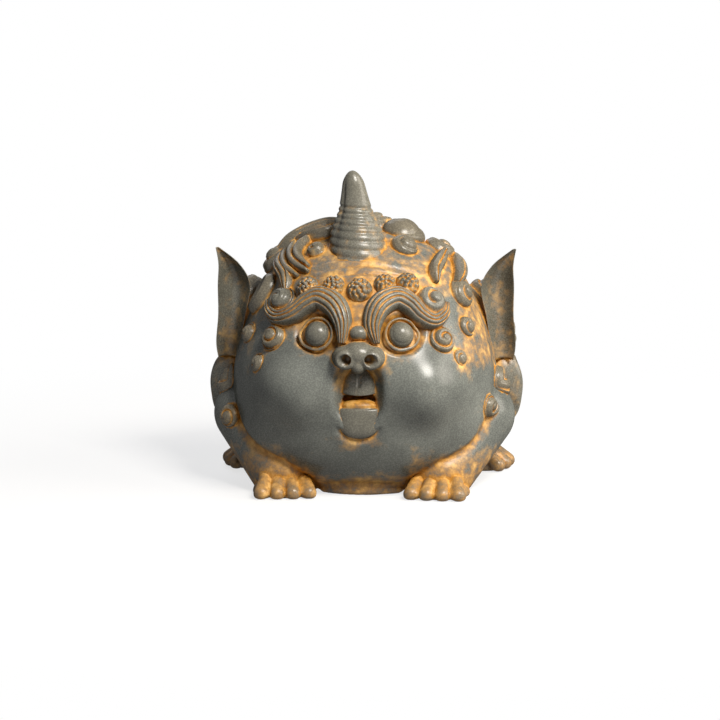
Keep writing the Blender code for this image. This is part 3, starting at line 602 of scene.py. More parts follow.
@dataclass
class FootSlab:
    """Oval slab of bare clay that closes the foot, with the vent of the kiln."""

    size: Triple = (35.4, 39.4, 3.2)
    vent: float = 6.0
    edge: float = 0.35

    def build(self) -> Clay:
        """Form the slab as one turned profile, stretched to an oval.

        Returns:
            The slab piece.
        """
        bm = bmesh.new()
        half, thick, edge = self.size[0] / 2, self.size[2], self.edge
        profile = [
            (self.vent, edge), (self.vent + edge, 0.0), (half - edge, 0.0), (half, edge),
            (half, thick - edge), (half - edge, thick), (self.vent + edge, thick), (self.vent, thick - edge)]
        corners = [bm.verts.new((radius, 0, height)) for radius, height in profile]
        rim = [bm.edges.new((corners[i], corners[(i + 1) % len(corners)])) for i in range(len(corners))]
        bmesh.ops.spin(
            bm, geom=corners + rim, cent=(0, 0, 0), axis=(0, 0, 1), angle=2 * math.pi, steps=96, use_merge=True)

        def stretch(points: Array) -> Array:
            """Oval outline round a round vent.

            Args:
                points: Places on the turned slab.

            Returns:
                Places on the oval slab.
            """
            reach = smooth_step(self.vent + 1.0, half, np.hypot(points[:, 0], points[:, 1]))
            longer = 1 + reach * (self.size[1] / self.size[0] - 1)
            return np.stack([points[:, 0], points[:, 1] * longer, points[:, 2]], axis=1)
        return Clay("base_plate", Slot.FOOT, reshape(bm, stretch))


# Shapes laid on the skin

@dataclass
class Band:
    """Grooved band of clay laid along a line on the skin."""

    form: BodyForm
    line: Array
    width: float
    height: float
    widths: tuple[float, ...]
    ridges: int
    groove: float
    sides: int
    rings: int
    lean: float = 0.0
    sink: float = 1.2

    def build(self) -> Blank:
        """Form the band.

        Returns:
            The shaped blank.
        """
        top = self.sides * 3 // 4

        def shape(points: Array) -> Array:
            """Ridged upper side, flat underside in the body.

            Args:
                points: Places on the blank.

            Returns:
                Places on the band.
            """
            share = np.clip(points[:, 2], 0.0, 1.0)
            here = curve_through(self.line, share)
            ahead = curve_through(self.line, np.minimum(share + 0.01, 1.0)) - curve_through(
                self.line, np.maximum(share - 0.01, 0.0))
            out = self.form.outward(here)
            across = unit(np.cross(out, ahead))
            angle = np.arctan2(points[:, 1], points[:, 0]) / (2 * math.pi)
            turn = np.round(angle * self.sides).astype(int) % self.sides
            upper = turn <= top
            a = np.where(upper, 2.0 * turn / top - 1.0, 1.0 - 2.0 * (turn - top) / (self.sides - top))
            hub = np.hypot(points[:, 0], points[:, 1]) < 0.5
            a = np.where(hub, 0.0, a)
            size = along_values(self.widths, share)
            arch = np.sqrt(np.clip(1.0 - np.abs(a) ** 2.6, 0.0, 1.0)) * (1.0 + self.lean * a)
            valley = 1.0 - np.abs(np.sin(0.5 * math.pi * self.ridges * (a + 1.0)))
            inner = smooth_step(1.0, 0.8, np.abs(a))
            lift = self.height * np.sqrt(size) * (arch - self.groove * valley ** 1.6 * inner)
            rise = np.where(upper & ~hub, lift, -self.sink)
            return self.form.lay(here + across * (a * self.width / 2 * size)[:, None], out, rise)
        return reshape(tube_blank(self.sides, self.rings), shape)


@dataclass
class Pad:
    """Cushion of clay on the skin."""

    form: BodyForm
    seat: Seat
    size: Spot
    rise: float
    relief: Callable[[Array, Array], Array] | None = None
    around: int = 64
    rows: int = 40
    sink: float = 1.2

    def build(self) -> Blank:
        """Form the cushion.

        Returns:
            The shaped blank.
        """
        def shape(points: Array) -> Array:
            """Raised upper side, sunk underside.

            Args:
                points: Places on the blank.

            Returns:
                Places on the cushion.
            """
            flat = points[:, :2]
            reach = np.hypot(flat[:, 0], flat[:, 1])
            lift = self.rise * np.sqrt(np.clip(1.0 - reach ** 2, 0.0, 1.0))
            if self.relief is not None:
                lift += self.relief(flat[:, 0], flat[:, 1]) * smooth_step(1.0, 0.85, reach)
            rise = np.where(points[:, 2] >= -1e-6, lift, points[:, 2] * self.sink)
            return self.form.drape(self.seat, flat * np.array(self.size) / 2, rise - 0.15)
        return reshape(dome_blank(self.around, self.rows), shape)


@dataclass
class Star:
    """Lump of clay given by a distance field round its own middle, on a seat."""

    seat: Seat
    distance: Shape
    middle: Triple
    reach: float
    fineness: int = 6

    def build(self) -> Blank:
        """Form the lump.

        Returns:
            The shaped blank.
        """
        def shape(points: Array) -> Array:
            """Skin of the lump along rays from its middle."""
            return self.seat.place(march(self.distance, np.array(self.middle), unit(points), 0.0, self.reach))
        return reshape(ball_blank(self.fineness), shape)


@dataclass
class Curl:
    """Snail curl: a roll of strands that winds in to a ball."""

    form: BodyForm
    seat: Seat
    radius: float
    hand: int = 1
    turns: float = 1.6
    lift: float = 0.8
    cut: float = 1.0
    sink: float = 1.4

    def build(self) -> Blank:
        """Form the curl.

        Returns:
            The shaped blank.
        """
        def shape(points: Array) -> Array:
            """Winding roll over the skin, sunk underside.

            Args:
                points: Places on the blank.

            Returns:
                Places on the curl.
            """
            reach = np.hypot(points[:, 0], points[:, 1])
            wind = self.hand * np.arctan2(points[:, 1], points[:, 0]) / (2 * math.pi) + self.turns * reach
            valley = 1.0 - np.abs(np.sin(math.pi * wind))
            fine = 1.0 - np.abs(np.sin(3 * math.pi * wind))
            coil = smooth_step(0.18, 0.34, reach) * smooth_step(1.0, 0.9, reach)
            dome = np.clip(1.0 - reach ** 2.6, 0.0, 1.0) ** 0.42
            cut = self.cut * (0.34 * valley ** 1.5 + 0.07 * fine ** 2) * coil
            rise = self.radius * self.lift * (dome * (1.0 - 0.18 * reach) - cut)
            rise = np.where(points[:, 2] >= -1e-6, rise, points[:, 2] * self.sink)
            return self.form.drape(self.seat, points[:, :2] * self.radius, rise - 0.15)
        return reshape(dome_blank(72, 64), shape)


# Pieces of the face

@dataclass
class Horn:
    """Blunt horn with rings pressed round its lower part, leaning to its right."""

    form: BodyForm
    top: float = 90.0
    radius: float = 8.0
    foot_height: float = 65.3
    base: float = -0.8
    lean: float = -2.9
    swell: tuple[float, ...] = (0.93, 0.99, 1.0, 0.99, 0.93, 0.8, 0.63, 0.52, 0.44, 0.37, 0.31)
    tip_round: float = 0.14
    ring_heights: tuple[float, ...] = (66.2, 68.6, 71.0, 73.2, 75.0, 76.6, 78.2, 79.8)
    ring_depth: float = 0.34
    ring_width: float = 0.42
    dent_turn: float = -2.45
    dent_depth: float = 0.5
    dent_width: float = 0.16

    def build(self) -> Clay:
        """Form the horn.

        Returns:
            The horn piece.
        """
        foot = self.form.face(0.0, self.foot_height)[0]
        root = np.array([self.base, foot[1] + 0.75 * self.radius, foot[2] - 0.55 * self.radius])
        tip = np.array([self.lean, root[1] + 2.5, self.top])

        def shape(points: Array) -> Array:
            """Tapered, ringed trunk with a rounded tip and one dent along its side.

            Args:
                points: Places on the blank.

            Returns:
                Places on the horn.
            """
            rise = np.sin(points[:, 2] * math.pi / 2) ** 0.9
            centre = root + rise[:, None] * (tip - root)
            centre[:, 1] += 2.0 * np.sin(math.pi * rise)
            past = np.maximum(rise - (1.0 - self.tip_round), 0.0) / self.tip_round
            reach = self.radius * along_values(self.swell, rise) * np.sqrt(np.clip(1.0 - past ** 2, 0.0, 1.0))
            turn = np.arctan2(points[:, 1], points[:, 0])
            height = centre[:, 2] + 0.9 * np.cos(turn) * (1 - rise)
            for ring in self.ring_heights:
                reach -= self.ring_depth * bell(height - ring, self.ring_width)
            dent = self.dent_depth * bell(turn - self.dent_turn, self.dent_width)
            reach -= dent * smooth_step(0.2, 0.5, rise) * smooth_step(0.95, 0.8, rise)
            flat = points[:, :2] * reach[:, None]
            return centre + np.stack([flat[:, 0], flat[:, 1] * 0.92, np.zeros(len(points))], axis=1)
        return Clay("horn", Slot.RELIEF, reshape(tube_blank(72, 130), shape),
                    lambda points: 0.3 * smooth_step(83, 77, points[:, 2]))


@dataclass
class Brows:
    """Pair of grooved scrolls over the eyes, each with its volute, given by place and radius."""

    form: BodyForm
    width: float = 6.9
    height: float = 3.7
    lean: float = 0.15
    widths: tuple[float, ...] = (0.34, 0.78, 1.0, 1.02, 0.98, 0.86, 0.76, 0.62, 0.35)
    left: tuple[Spot, ...] = (
        (4.7, 44.6), (3.6, 49.4), (5.2, 54.0), (9.4, 56.2), (13.2, 54.6), (16.4, 51.4), (19.6, 49.8),
        (22.0, 51.2), (22.8, 53.6))
    right: tuple[Spot, ...] = (
        (-4.4, 44.6), (-4.4, 50.0), (-6.6, 54.2), (-10.6, 56.0), (-14.0, 54.6), (-17.8, 51.6), (-21.8, 50.1),
        (-24.2, 51.2), (-25.0, 53.6))
    left_volute: Triple = (19.4, 54.6, 4.5)
    right_volute: Triple = (-21.7, 54.0, 4.5)

    def brow(self, node: str, path: Sequence[Spot], volute: Triple, hand: int) -> Clay:
        """One brow from the bridge of the nose out to its volute.

        Args:
            node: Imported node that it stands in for.
            path: Places across and up that its middle line passes.
            volute: Place and radius of its volute.
            hand: 1 on the left and -1 on the right.

        Returns:
            The brow piece.
        """
        line = self.form.face(*np.array(path).T)
        band = Band(self.form, line, self.width, self.height, self.widths, ridges=5, groove=0.2,
                    sides=80, rings=200, lean=-hand * self.lean)
        seat = self.form.seat(self.form.face(*volute[:2])[0])
        snail = Curl(self.form, seat, volute[2], hand, turns=1.3, lift=0.92)
        return Clay(node, Slot.RELIEF, press_together([band.build(), snail.build()]))

    def build(self) -> list[Clay]:
        """Form the left and the right brow."""
        return [self.brow("left_brow", self.left, self.left_volute, 1),
                self.brow("right_brow", self.right, self.right_volute, -1)]


@dataclass
class Eyes:
    """Eyeballs and the rings of clay round them."""

    form: BodyForm
    place: Spot = (11.4, 46.9)
    set_back: float = 0.9
    ball_radius: float = 3.75
    iris: float = 0.74
    lid_radius: float = 4.3
    lid_thick: float = 0.46

    def build(self) -> list[Clay]:
        """Form both eyes.

        Returns:
            Eyeballs and eyelids of both sides.
        """
        skin = self.form.seat(self.form.face(*self.place)[0])
        seat = Seat(skin.point - skin.out * self.set_back, skin.side, skin.up, skin.out)

        def dome(points: Array) -> Array:
            """Eyeball with a line round its iris.

            Args:
                points: Places on the blank.

            Returns:
                Places on the eyeball.
            """
            away = np.abs(np.hypot(points[:, 0], points[:, 1]) - self.iris)
            line = 0.045 * smooth_step(0.07, 0.0, away)
            lift = np.where(points[:, 2] > 0, points[:, 2] * 1.05 - line, points[:, 2] * 0.5)
            return seat.place(np.column_stack([points[:, :2], lift]) * self.ball_radius)

        def ring(points: Array) -> Array:
            """Roll of clay bent round the eye, drawn out towards the temple.

            Args:
                points: Places on the blank.

            Returns:
                Places on the eyelid.
            """
            turn = np.arctan2(points[:, 1], points[:, 0])
            round_eye = 2 * math.pi * points[:, 2]
            reach = self.lid_radius + self.lid_thick * np.cos(turn)
            side = np.cos(round_eye) * reach + 0.8 * smooth_step(0.6, 1.0, np.cos(round_eye + 0.45))
            high = 1.0 + self.lid_thick * np.sin(turn) * (1.2 + 0.7 * np.sin(round_eye))
            return seat.place(np.stack([side, np.sin(round_eye) * reach, high], axis=1))
        lid = tube_blank(20, 120)
        caps = [face for face in lid.faces if abs(face.normal.z) > 0.5]
        bmesh.ops.delete(lid, geom=caps, context="FACES")
        eyeball = Clay("left_eyeball", Slot.RELIEF, reshape(dome_blank(64, 40), dome))
        eyelid = Clay("left_eyelid", Slot.RELIEF, reshape(lid, ring), even_stain(0.45))
        return [eyeball, eyelid, eyeball.mirrored(), eyelid.mirrored()]


@dataclass
class Muzzle:
    """Nose with its nostrils, the bead on its bridge and the two lips."""

    form: BodyForm
    nose_height: float = 41.2
    bead_height: float = 47.3
    lip_height: float = 32.2
    chin_height: float = 22.4
    nostril: float = 1.45

    def nose_distance(self, points: Array) -> Array:
        """Distance to the nose, in the directions of its seat.

        Args:
            points: Places to measure from.

        Returns:
            Distances, negative inside.
        """
        sided = on_left(points)
        bridge = ball(sided, (0, 0.7, 0.0), (4.8, 3.6, 4.4))
        wing = ball(sided, (4.0, -0.2, 0.2), (3.3, 3.2, 3.6))
        septum = ball(sided, (0, -2.4, 1.2), (2.2, 2.2, 3.0))
        rim = ball(sided, (3.5, -0.5, 2.9), (2.9, 2.8, 1.7))
        hole = limb(sided, (2.9, -0.45, 2.2), (4.7, -0.5, 8.0), (self.nostril, self.nostril * 1.25))
        return carve(smooth_min(smooth_min(smooth_min(bridge, wing, 0.8), septum, 0.8), rim, 0.4), hole, 0.4)

    @staticmethod
    def lip_distance(points: Array) -> Array:
        """Distance to the upper lip, grooved up to the nose, in the directions of its seat.

        Args:
            points: Places to measure from.

        Returns:
            Distances, negative inside.
        """
        sided = on_left(points)
        lip = ball(sided, (0, -2.0, -0.8), (7.0, 9.0, 4.3), 1.6)
        groove = limb(sided, (0, 0.6, 3.1), (0, 6.0, 1.9), (0.5, 0.9))
        mouth = sided[:, 1] + 2.3 - 0.02 * sided[:, 0] ** 2
        return carve(carve(lip, groove, 0.6), mouth, 0.4)

    @staticmethod
    def chin_distance(points: Array) -> Array:
        """Distance to the tab of the lower lip with the tongue on it, in the directions of its seat.

        Args:
            points: Places to measure from.

        Returns:
            Distances, negative inside.
        """
        bent = points.copy()
        bent[:, 0] /= 1.0 + 0.022 * points[:, 1]
        bent[:, 2] += 0.16 * points[:, 1]
        tab = ball(bent, (0, 1.2, -1.6), (6.6, 5.8, 3.5), 2.4)
        tongue = ball(points, (0, 4.6, -2.0), (5.0, 1.7, 3.0))
        return smooth_min(carve(tab, 4.1 - points[:, 1], 0.6), tongue, 0.2)

    def build(self) -> list[Clay]:
        """Form the pieces of the muzzle.

        Returns:
            Nose, nose bead, upper lip and lower lip.
        """
        def front_seat(height: float) -> Seat:
            """Seat on the middle of the face that looks straight ahead."""
            return Seat(self.form.face(0.0, height)[0], LEFT, UP, FRONT)
        nose = Star(front_seat(self.nose_height), self.nose_distance, (0.0, -0.2, -6.0), 20.0, fineness=7)
        bead = Pad(self.form, self.form.seat(self.form.face(0.0, self.bead_height)[0]), (5.9, 4.4), 2.7)
        lip = Star(front_seat(self.lip_height), self.lip_distance, (0.0, 0.2, -1.5), 16.0)
        chin = Star(front_seat(self.chin_height), self.chin_distance, (0.0, 0.0, -2.0), 14.0)
        return [
            Clay("nose", Slot.RELIEF, nose.build()), Clay("nose_bead", Slot.RELIEF, bead.build()),
            Clay("upper_lip", Slot.RELIEF, lip.build()),
            Clay("lower_lip", Slot.RELIEF, chin.build(),
                 lambda points: 1.1 * smooth_step(26.3, 26.9, points[:, 2]))]


@dataclass
class Beads:
    """Row of berry sprigs across the forehead, given by place across, height and width."""

    form: BodyForm
    spots: tuple[Triple, ...] = (
        (-14.6, 58.4, 6.6), (-7.3, 59.2, 6.4), (-0.1, 58.4, 7.2), (6.8, 59.7, 6.4), (12.9, 59.6, 6.8))
    grains: int = 24
    grain_radius: float = 0.2

    def berry(self, x: Array, y: Array) -> Array:
        """Small grains over the dome of a bead.

        Args:
            x: Places across, -1 to 1.
            y: Places up, -1 to 1.

        Returns:
            Height of the grains.
        """
        height = np.zeros(len(x))
        for index in range(self.grains):
            reach, turn = math.sqrt((index + 0.4) / self.grains), index * GOLDEN_TURN
            away = np.hypot(x - reach * math.cos(turn), y - reach * math.sin(turn)) / self.grain_radius
            height = np.maximum(height, np.sqrt(np.clip(1.0 - away ** 2, 0.0, 1.0)))
        return height - 0.65

    def build(self) -> list[Clay]:
        """Form the beads.

        Returns:
            The five beads, from the statue's right to its left.
        """
        beads = []
        for index, (x, z, width) in enumerate(self.spots):
            seat = self.form.seat(self.form.face(x, z)[0]).turned(37.0 * index)
            pad = Pad(self.form, seat, (width, width), 0.44 * width, self.berry, around=72, rows=52)
            beads.append(Clay(f"forehead_bead_{index + 1}", Slot.HAIR, pad.build()))
        return beads


# Hair

@dataclass
class Hair:
    """Locks and curls of temples, cheeks, flanks, crown and mane.

    Places are directions from the heart: azimuth and elevation in degrees.
    """

    form: BodyForm
    cheek: float = 3.9
    crown: float = 5.8
    mane: float = 7.2
    mane_rows: tuple[tuple[int, int, int], ...] = ((60, 2, 62), (41, 3, 44), (22, 4, 34))
    wave_width: float = 2.6

    def roll(self, spot: Spot, radius: float, *style: float) -> Blank:
        """Snail curl at a place; the style is the way it winds, its turns, lift and cut."""
        return Curl(self.form, self.form.seat(self.form.ray(*spot)), radius, *style).build()

    def lock(self, spots: Sequence[Spot], width: float, height: float, strands: int,
             widths: tuple[float, ...], groove: float = 0.26) -> Blank:
        """Lock of strands through places, with its share of the width from root to tip."""
        line = np.array([self.form.ray(*spot) for spot in spots])
        return Band(self.form, line, width, height, widths, strands, groove, sides=56, rings=70).build()

    def curls(self, rows: Sequence[tuple]) -> list[Clay]:
        """One piece per row of a node, its place, radius and style."""
        return [Clay(node, Slot.HAIR, self.roll(*row)) for node, *row in rows]

    def temples(self) -> list[Clay]:
        """Locks of the temples: drops on the left, a hollow leaf and a wisp on the right.

        Returns:
            Left and right temple lock.
        """
        drop = self.lock(((94, 55), (84, 51), (72, 47), (62, 44)), 4.0, 3.2, 2, (0.5, 0.9, 1.0, 0.9, 0.6))
        knob = self.roll((64, 40), 4.3, -1, 1.3)
        slip = self.lock(((84, 58), (62, 55), (50, 51), (46, 46)), 4.0, 3.0, 2, (0.5, 0.9, 1.0, 0.9, 0.4))

        def hollow_leaf(x: Array, y: Array) -> Array:
            """Sunken middle that opens to the outer side."""
            return -2.7 * smooth_step(0.8, 0.35, np.hypot(x + 0.18, y))
        leaf = Pad(self.form, self.form.seat(self.form.ray(-67, 39)).turned(-14), (9.4, 13.0), 3.6, hollow_leaf)
        wisp = self.lock(((-78, 56), (-65, 52), (-50, 48), (-43, 42)), 4.8, 2.6, 3, (0.5, 0.9, 1.0, 0.9, 0.4))
        return [Clay("left_temple_lock", Slot.HAIR, press_together([drop, knob, slip])),
                Clay("right_temple_lock", Slot.HAIR, press_together([leaf.build(), wisp]))]

    def crests(self) -> list[Clay]:
        """Waves and strands beside the horn on the statue's right.

        Returns:
            Right front curl and right crown lock.
        """
        waves = [self.roll((-42, 63), 0.5 * self.crown, 1, 1.0, 0.95)]
        for height, spots in (
                (2.7, ((-70, 68), (-64, 63), (-57, 59), (-47, 56), (-37, 54))),
                (2.5, ((-84, 63), (-68, 59), (-56, 55.5), (-45, 53), (-35, 51.5))),
                (2.3, ((-80, 58), (-64, 54), (-52, 51), (-41, 49)))):
            waves.append(self.lock(spots, self.wave_width, height, 1, (0.7, 1.0, 1.0, 1.0, 0.5)))
        strands = [
            self.lock(((-52, 80), (-84, 75), (-86, 68), (-86, 60)), 11.5, 2.4, 3, (0.5, 0.95, 1.0, 0.85, 0.35)),
            self.lock(((-64, 82), (-90, 77), (-90, 72), (-90, 66), (-89, 61), (-88, 56)), 6.6, 4.6, 3,
                      (0.5, 0.9, 1.0, 1.0, 0.9, 0.5), 0.45),
            self.lock(((-50, 77), (-60, 72), (-74, 68), (-84, 63)), 3.8, 3.4, 2, (0.4, 0.9, 1.0, 0.9, 0.5), 0.4)]
        return [Clay("right_front_curl", Slot.HAIR, press_together(waves)),
                Clay("right_crown_lock", Slot.HAIR, press_together(strands))]

    def build(self) -> list[Clay]:
        """Form all of the hair.

        Returns:
            The locks and curls.
        """
        cheek, crown, mane = self.cheek, self.crown, self.mane
        sides = (
            ("left_cheek_curl", (38, 22), cheek, 1, 2.0),
            ("right_cheek_curl", (-41, 22), cheek, -1, 2.0),
            ("left_upper_curl", (56, 26), 0.75 * cheek, -1, 1.0),
            ("right_upper_curl", (-61, 22), 0.75 * cheek, 1, 1.0),
            ("left_lower_curl", (45, 14), 0.6 * cheek, -1, 0.8),
            ("right_lower_curl", (-46, 11), 0.66 * cheek, 1, 0.8),
            ("left_shoulder_curl", (80, -1), 1.15 * cheek),
            ("right_shoulder_curl", (-80, -2), 1.15 * cheek, -1),
            ("left_flank_curl", (64, -8), 0.85 * cheek, -1),
            ("right_flank_curl", (-67, -13), 0.85 * cheek),
            ("left_nape_curl", (110, 14), 0.9 * mane, 1, 1.6, 1.05),
            ("right_nape_curl", (-110, 14), 0.9 * mane, -1, 1.6, 1.05),
            ("left_ruff_curl", (111, 29), 0.88 * mane, -1, 1.6, 1.05),
            ("right_ruff_curl", (-111, 29), 0.88 * mane, 1, 1.6, 1.05),
            ("left_side_curl", (94, 59), 0.9 * crown, 1, 1.6, 0.7),
            ("right_side_curl", (-90, 53), 0.9 * crown, -1),
            ("left_crown_curl", (84, 75), 1.1 * crown, 1, 0.8, 0.72, 0.4),
            ("left_front_curl", (42, 66), 0.68 * crown, -1, 1.0, 0.85, 0.6))
        back = [("top_curl", (140, 84), 0.85 * mane)]
        for elevation, number, spread in self.mane_rows:
            for index in range(number):
                azimuth = 180 + (index - (number - 1) / 2) * spread
                back.append((f"mane_curl_{len(back)}", (azimuth, elevation), mane, 1 if azimuth > 180 else -1))
        return self.temples() + self.curls(sides) + self.crests() + self.curls(back)


# Ears, wings, paws and tail

@dataclass
class Ears:
    """Pointed ears, cupped towards the front."""

    cup: float = 4.6
    thick: float = 2.6
    back: float = -1.8
    spine: tuple[Spot, ...] = (
        (39.7, 34.5), (39.5, 39.3), (38.5, 47.3), (37.8, 55.6), (39.2, 61.7), (42.5, 66.5))
    half: tuple[float, ...] = (2.8, 3.6, 3.95, 4.7, 3.05, 0.5)

    def build(self) -> list[Clay]:
        """Form both ears.

        Returns:
            Left and right ear.
        """
        line = np.array([(x, self.back, z) for x, z in self.spine])

        def shape(points: Array) -> Array:
            """Cupped leaf that is thickest where it is broadest.

            Args:
                points: Places on the blank.

            Returns:
                Places on the ear.
            """
            reach = along_values(self.half, points[:, 2])
            size = reach / max(self.half)
            wall = self.thick * (0.45 + 0.55 * size) * smooth_step(-0.02, 0.05, points[:, 2])
            cup = self.cup * size * (1.0 - points[:, 0] ** 2)
            depth = cup + np.sign(points[:, 1]) * np.sqrt(np.abs(points[:, 1])) * wall / 2
            off = np.stack([points[:, 0] * reach, depth, np.zeros(len(points))], axis=1)
            return curve_through(line, points[:, 2]) + off
        left = Clay("left_ear", Slot.RELIEF, reshape(tube_blank(64, 90), shape), even_stain(0.35))
        return [left, left.mirrored()]


@dataclass
class Wings:
    """Folded wings on the flanks, each a fan of feathers."""

    form: BodyForm
    root: Spot = (98, 8)
    feather: float = 21.0
    feathers: int = 4
    width: float = 7.2
    swing: float = 80.0
    proud: float = 7.4
    widths: tuple[float, ...] = (0.15, 0.75, 1.0, 0.95, 0.8, 0.3)

    def build(self) -> list[Clay]:
        """Form both wings.

        Returns:
            Left and right wing.
        """
        root = self.form.ray(*self.root)
        shares = np.linspace(0.0, 1.0, len(self.widths))[:, None]
        blades = []
        for index in range(self.feathers):
            fan = (index + 0.5) / self.feathers
            angle = math.radians(self.swing * (fan - 0.12))
            length = self.feather * (1 - 0.12 * fan)
            start = root + np.array([0.0, self.feather * 0.4 * (fan - 0.2), 1.0])
            line = start + shares * length * np.array([0.0, math.sin(angle), -math.cos(angle)])
            line[:, 0] = 0.0
            blades.append(Band(self.form, self.form.leave(line, LEFT), self.width, self.proud, self.widths,
                               ridges=2, groove=0.22, sides=48, rings=60).build())
        left = Clay("left_wing", Slot.RELIEF, press_together(blades), even_stain(0.3))
        return [left, left.mirrored()]


@dataclass
class Paws:
    """Front and hind paws with their toes; a size is width, length and height."""

    front: Spot = (21.4, -26.5)
    front_size: Triple = (19.0, 17.0, 7.6)
    hind: Spot = (34.4, 12.2)
    hind_size: Triple = (13.4, 17.0, 10.0)

    @staticmethod
    def paw_distance(points: Array, size: Triple, toes: int) -> Array:
        """Distance to a paw that points along +Y of its seat.

        Args:
            points: Places to measure from.
            size: Width over the toes, length from heel to toe tip and height of the instep.
            toes: Number of toes.

        Returns:
            Distances, negative inside.
        """
        width, length, height = size
        whole = ball(points, (0, -length * 0.14, 0), (width * 0.47, length * 0.5, height * 0.85))
        pitch = width / toes
        for index in range(toes):
            side = (index - (toes - 1) / 2) * pitch * 0.92
            out = length * (0.37 - 0.1 * abs(side) / width)
            toe = limb(points, (side * 0.8, out - 5.0, height * 0.6), (side, out, height * 0.2),
                       (pitch * 0.4, pitch * 0.47))
            whole = smooth_min(whole, toe, 0.5)
        return carve(whole, points[:, 2], 0.8)

    def paw(self, node: str, spot: Spot, heading: float, size: Triple, toes: int) -> Clay:
        """One paw on the ground.

        Args:
            node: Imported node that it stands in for.
            spot: Place of its middle on the ground.
            heading: Degrees that it turns outward from the front.
            size: Width, length and height.
            toes: Number of toes.

        Returns:
            The paw piece.
        """
        turn = math.radians(heading)
        ahead = np.array([math.sin(turn), -math.cos(turn), 0.0])
        seat = Seat(np.array([*spot, 0.0]), np.cross(ahead, UP), ahead, UP)
        lump = Star(seat, lambda points: self.paw_distance(points, size, toes), (0.0, 0.0, 1.5), 24.0)
        return Clay(node, Slot.PAW, lump.build(), even_stain(0.5))

    def build(self) -> list[Clay]:
        """Form the four paws.

        Returns:
            Front and hind paws of both sides.
        """
        left = [self.paw("left_front_paw", self.front, -6.0, self.front_size, 4),
                self.paw("left_hind_paw", self.hind, 70.0, self.hind_size, 3)]
        return left + [piece.mirrored() for piece in left]


@dataclass
class Tail:
    """Bushy tail that lies up the back in tufts."""

    form: BodyForm
    root: float = 4.0
    top: float = 38.0
    width: float = 26.0
    proud: float = 6.0
    tufts: int = 5
    tuft_width: float = 8.5
    tuft_step: float = 3.0
    widths: tuple[float, ...] = (0.5, 0.8, 1.0, 0.95, 0.75, 0.15)

    def build(self) -> list[Clay]:
        """Form the tail.

        Returns:
            The tail piece.
        """
        count = len(self.widths)
        locks = []
        for index in range(self.tufts):
            lean = index - (self.tufts - 1) / 2
            heights = np.linspace(self.root, self.top - self.tuft_step * abs(lean), count)
            swing = np.linspace(0.15, 1.0, count) ** 0.8 * lean * self.width / (self.tufts + 1)
            line = self.form.leave(np.stack([swing, np.zeros(count), heights], axis=1), -FRONT)
            locks.append(Band(self.form, line, self.tuft_width, self.proud, self.widths,
                              ridges=3, groove=0.25, sides=48, rings=70).build())
        return [Clay("tail", Slot.HAIR, press_together(locks))]


# Glaze

def linear(code: str) -> tuple[float, float, float, float]:
    """Linear colour with full opacity for an sRGB colour of six hex digits with a leading mark."""
    parts = [int(code[i:i + 2], 16) / 255 for i in (1, 3, 5)]
    return (*(p / 12.92 if p <= 0.04045 else ((p + 0.055) / 1.055) ** 2.4 for p in parts), 1.0)


def empty_tree(owner: bpy.types.Material | bpy.types.World) -> Tree:
    """Node tree without nodes.

    Args:
        owner: Material or world that gets the tree.

    Returns:
        The empty tree.
    """
    owner.use_nodes = True
    owner.node_tree.nodes.clear()
    return owner.node_tree


def add_node(tree: Tree, kind: str, settings: dict | None = None, links: dict | None = None) -> bpy.types.Node:
    """Add one node with its settings and incoming links.

    Args:
        tree: Node tree of a material or world.
        kind: Node type.
        settings: Values for node properties, or for input sockets by name or number.
        links: Output sockets to link to inputs, by input name or number.

    Returns:
        The new node.
    """
    node = tree.nodes.new(kind)
    for key, value in (settings or {}).items():
        if isinstance(key, str) and hasattr(node, key):
            setattr(node, key, value)
        else:
            node.inputs[key].default_value = value
    for key, output in (links or {}).items():
        tree.links.new(output, node.inputs[key])
    return node


def add_ramp(tree: Tree, source: Socket, stops: Sequence[tuple[float, str]]) -> Socket:
    """Colour ramp over a value.

    Args:
        tree: Node tree of a material.
        source: Value that drives the ramp.
        stops: Position and hex colour of each stop.

    Returns:
        The colour output.
    """
    ramp = add_node(tree, "ShaderNodeValToRGB", links={"Fac": source})
    steps = ramp.color_ramp.elements
    while len(steps) < len(stops):
        steps.new(1.0)
    for step, (position, code) in zip(steps, stops):
        step.position, step.color = position, linear(code)
    return ramp.outputs["Color"]


def add_noise(tree: Tree, size_mm: float, detail: float, roughness: float) -> Socket:
    """Noise in Object coordinates.

    Args:
        tree: Node tree of a material.
        size_mm: Real size of its patches.
        detail: Number of finer layers.
        roughness: Strength of the finer layers.

    Returns:
        The value output.
    """
    place = add_node(tree, "ShaderNodeTexCoord").outputs["Object"]
    settings = {"Scale": 1.0 / (size_mm * MM), "Detail": detail, "Roughness": roughness}
    return add_node(tree, "ShaderNodeTexNoise", settings, {"Vector": place}).outputs["Fac"]


def add_sum(tree: Tree, terms: Sequence[tuple[Socket, float]], start: float = 0.0, clamp: bool = False) -> Socket:
    """Weighted sum of values.

    Args:
        tree: Node tree of a material or world.
        terms: Values with their weights.
        start: Number to add.
        clamp: Keep every step of the sum between 0 and 1.

    Returns:
        The value output.
    """
    total = None
    for source, weight in terms:
        links = {0: source} if total is None else {0: source, 2: total}
        settings = {"operation": "MULTIPLY_ADD", "use_clamp": clamp, 1: weight, 2: start}
        total = add_node(tree, "ShaderNodeMath", settings, links).outputs[0]
    return total


def add_bump(tree: Tree, height: Socket, strength: float, depth_mm: float) -> Socket:
    """Small unevenness of a surface, as a normal output."""
    settings = {"Strength": strength, "Distance": depth_mm * MM}
    return add_node(tree, "ShaderNodeBump", settings, {"Height": height}).outputs["Normal"]


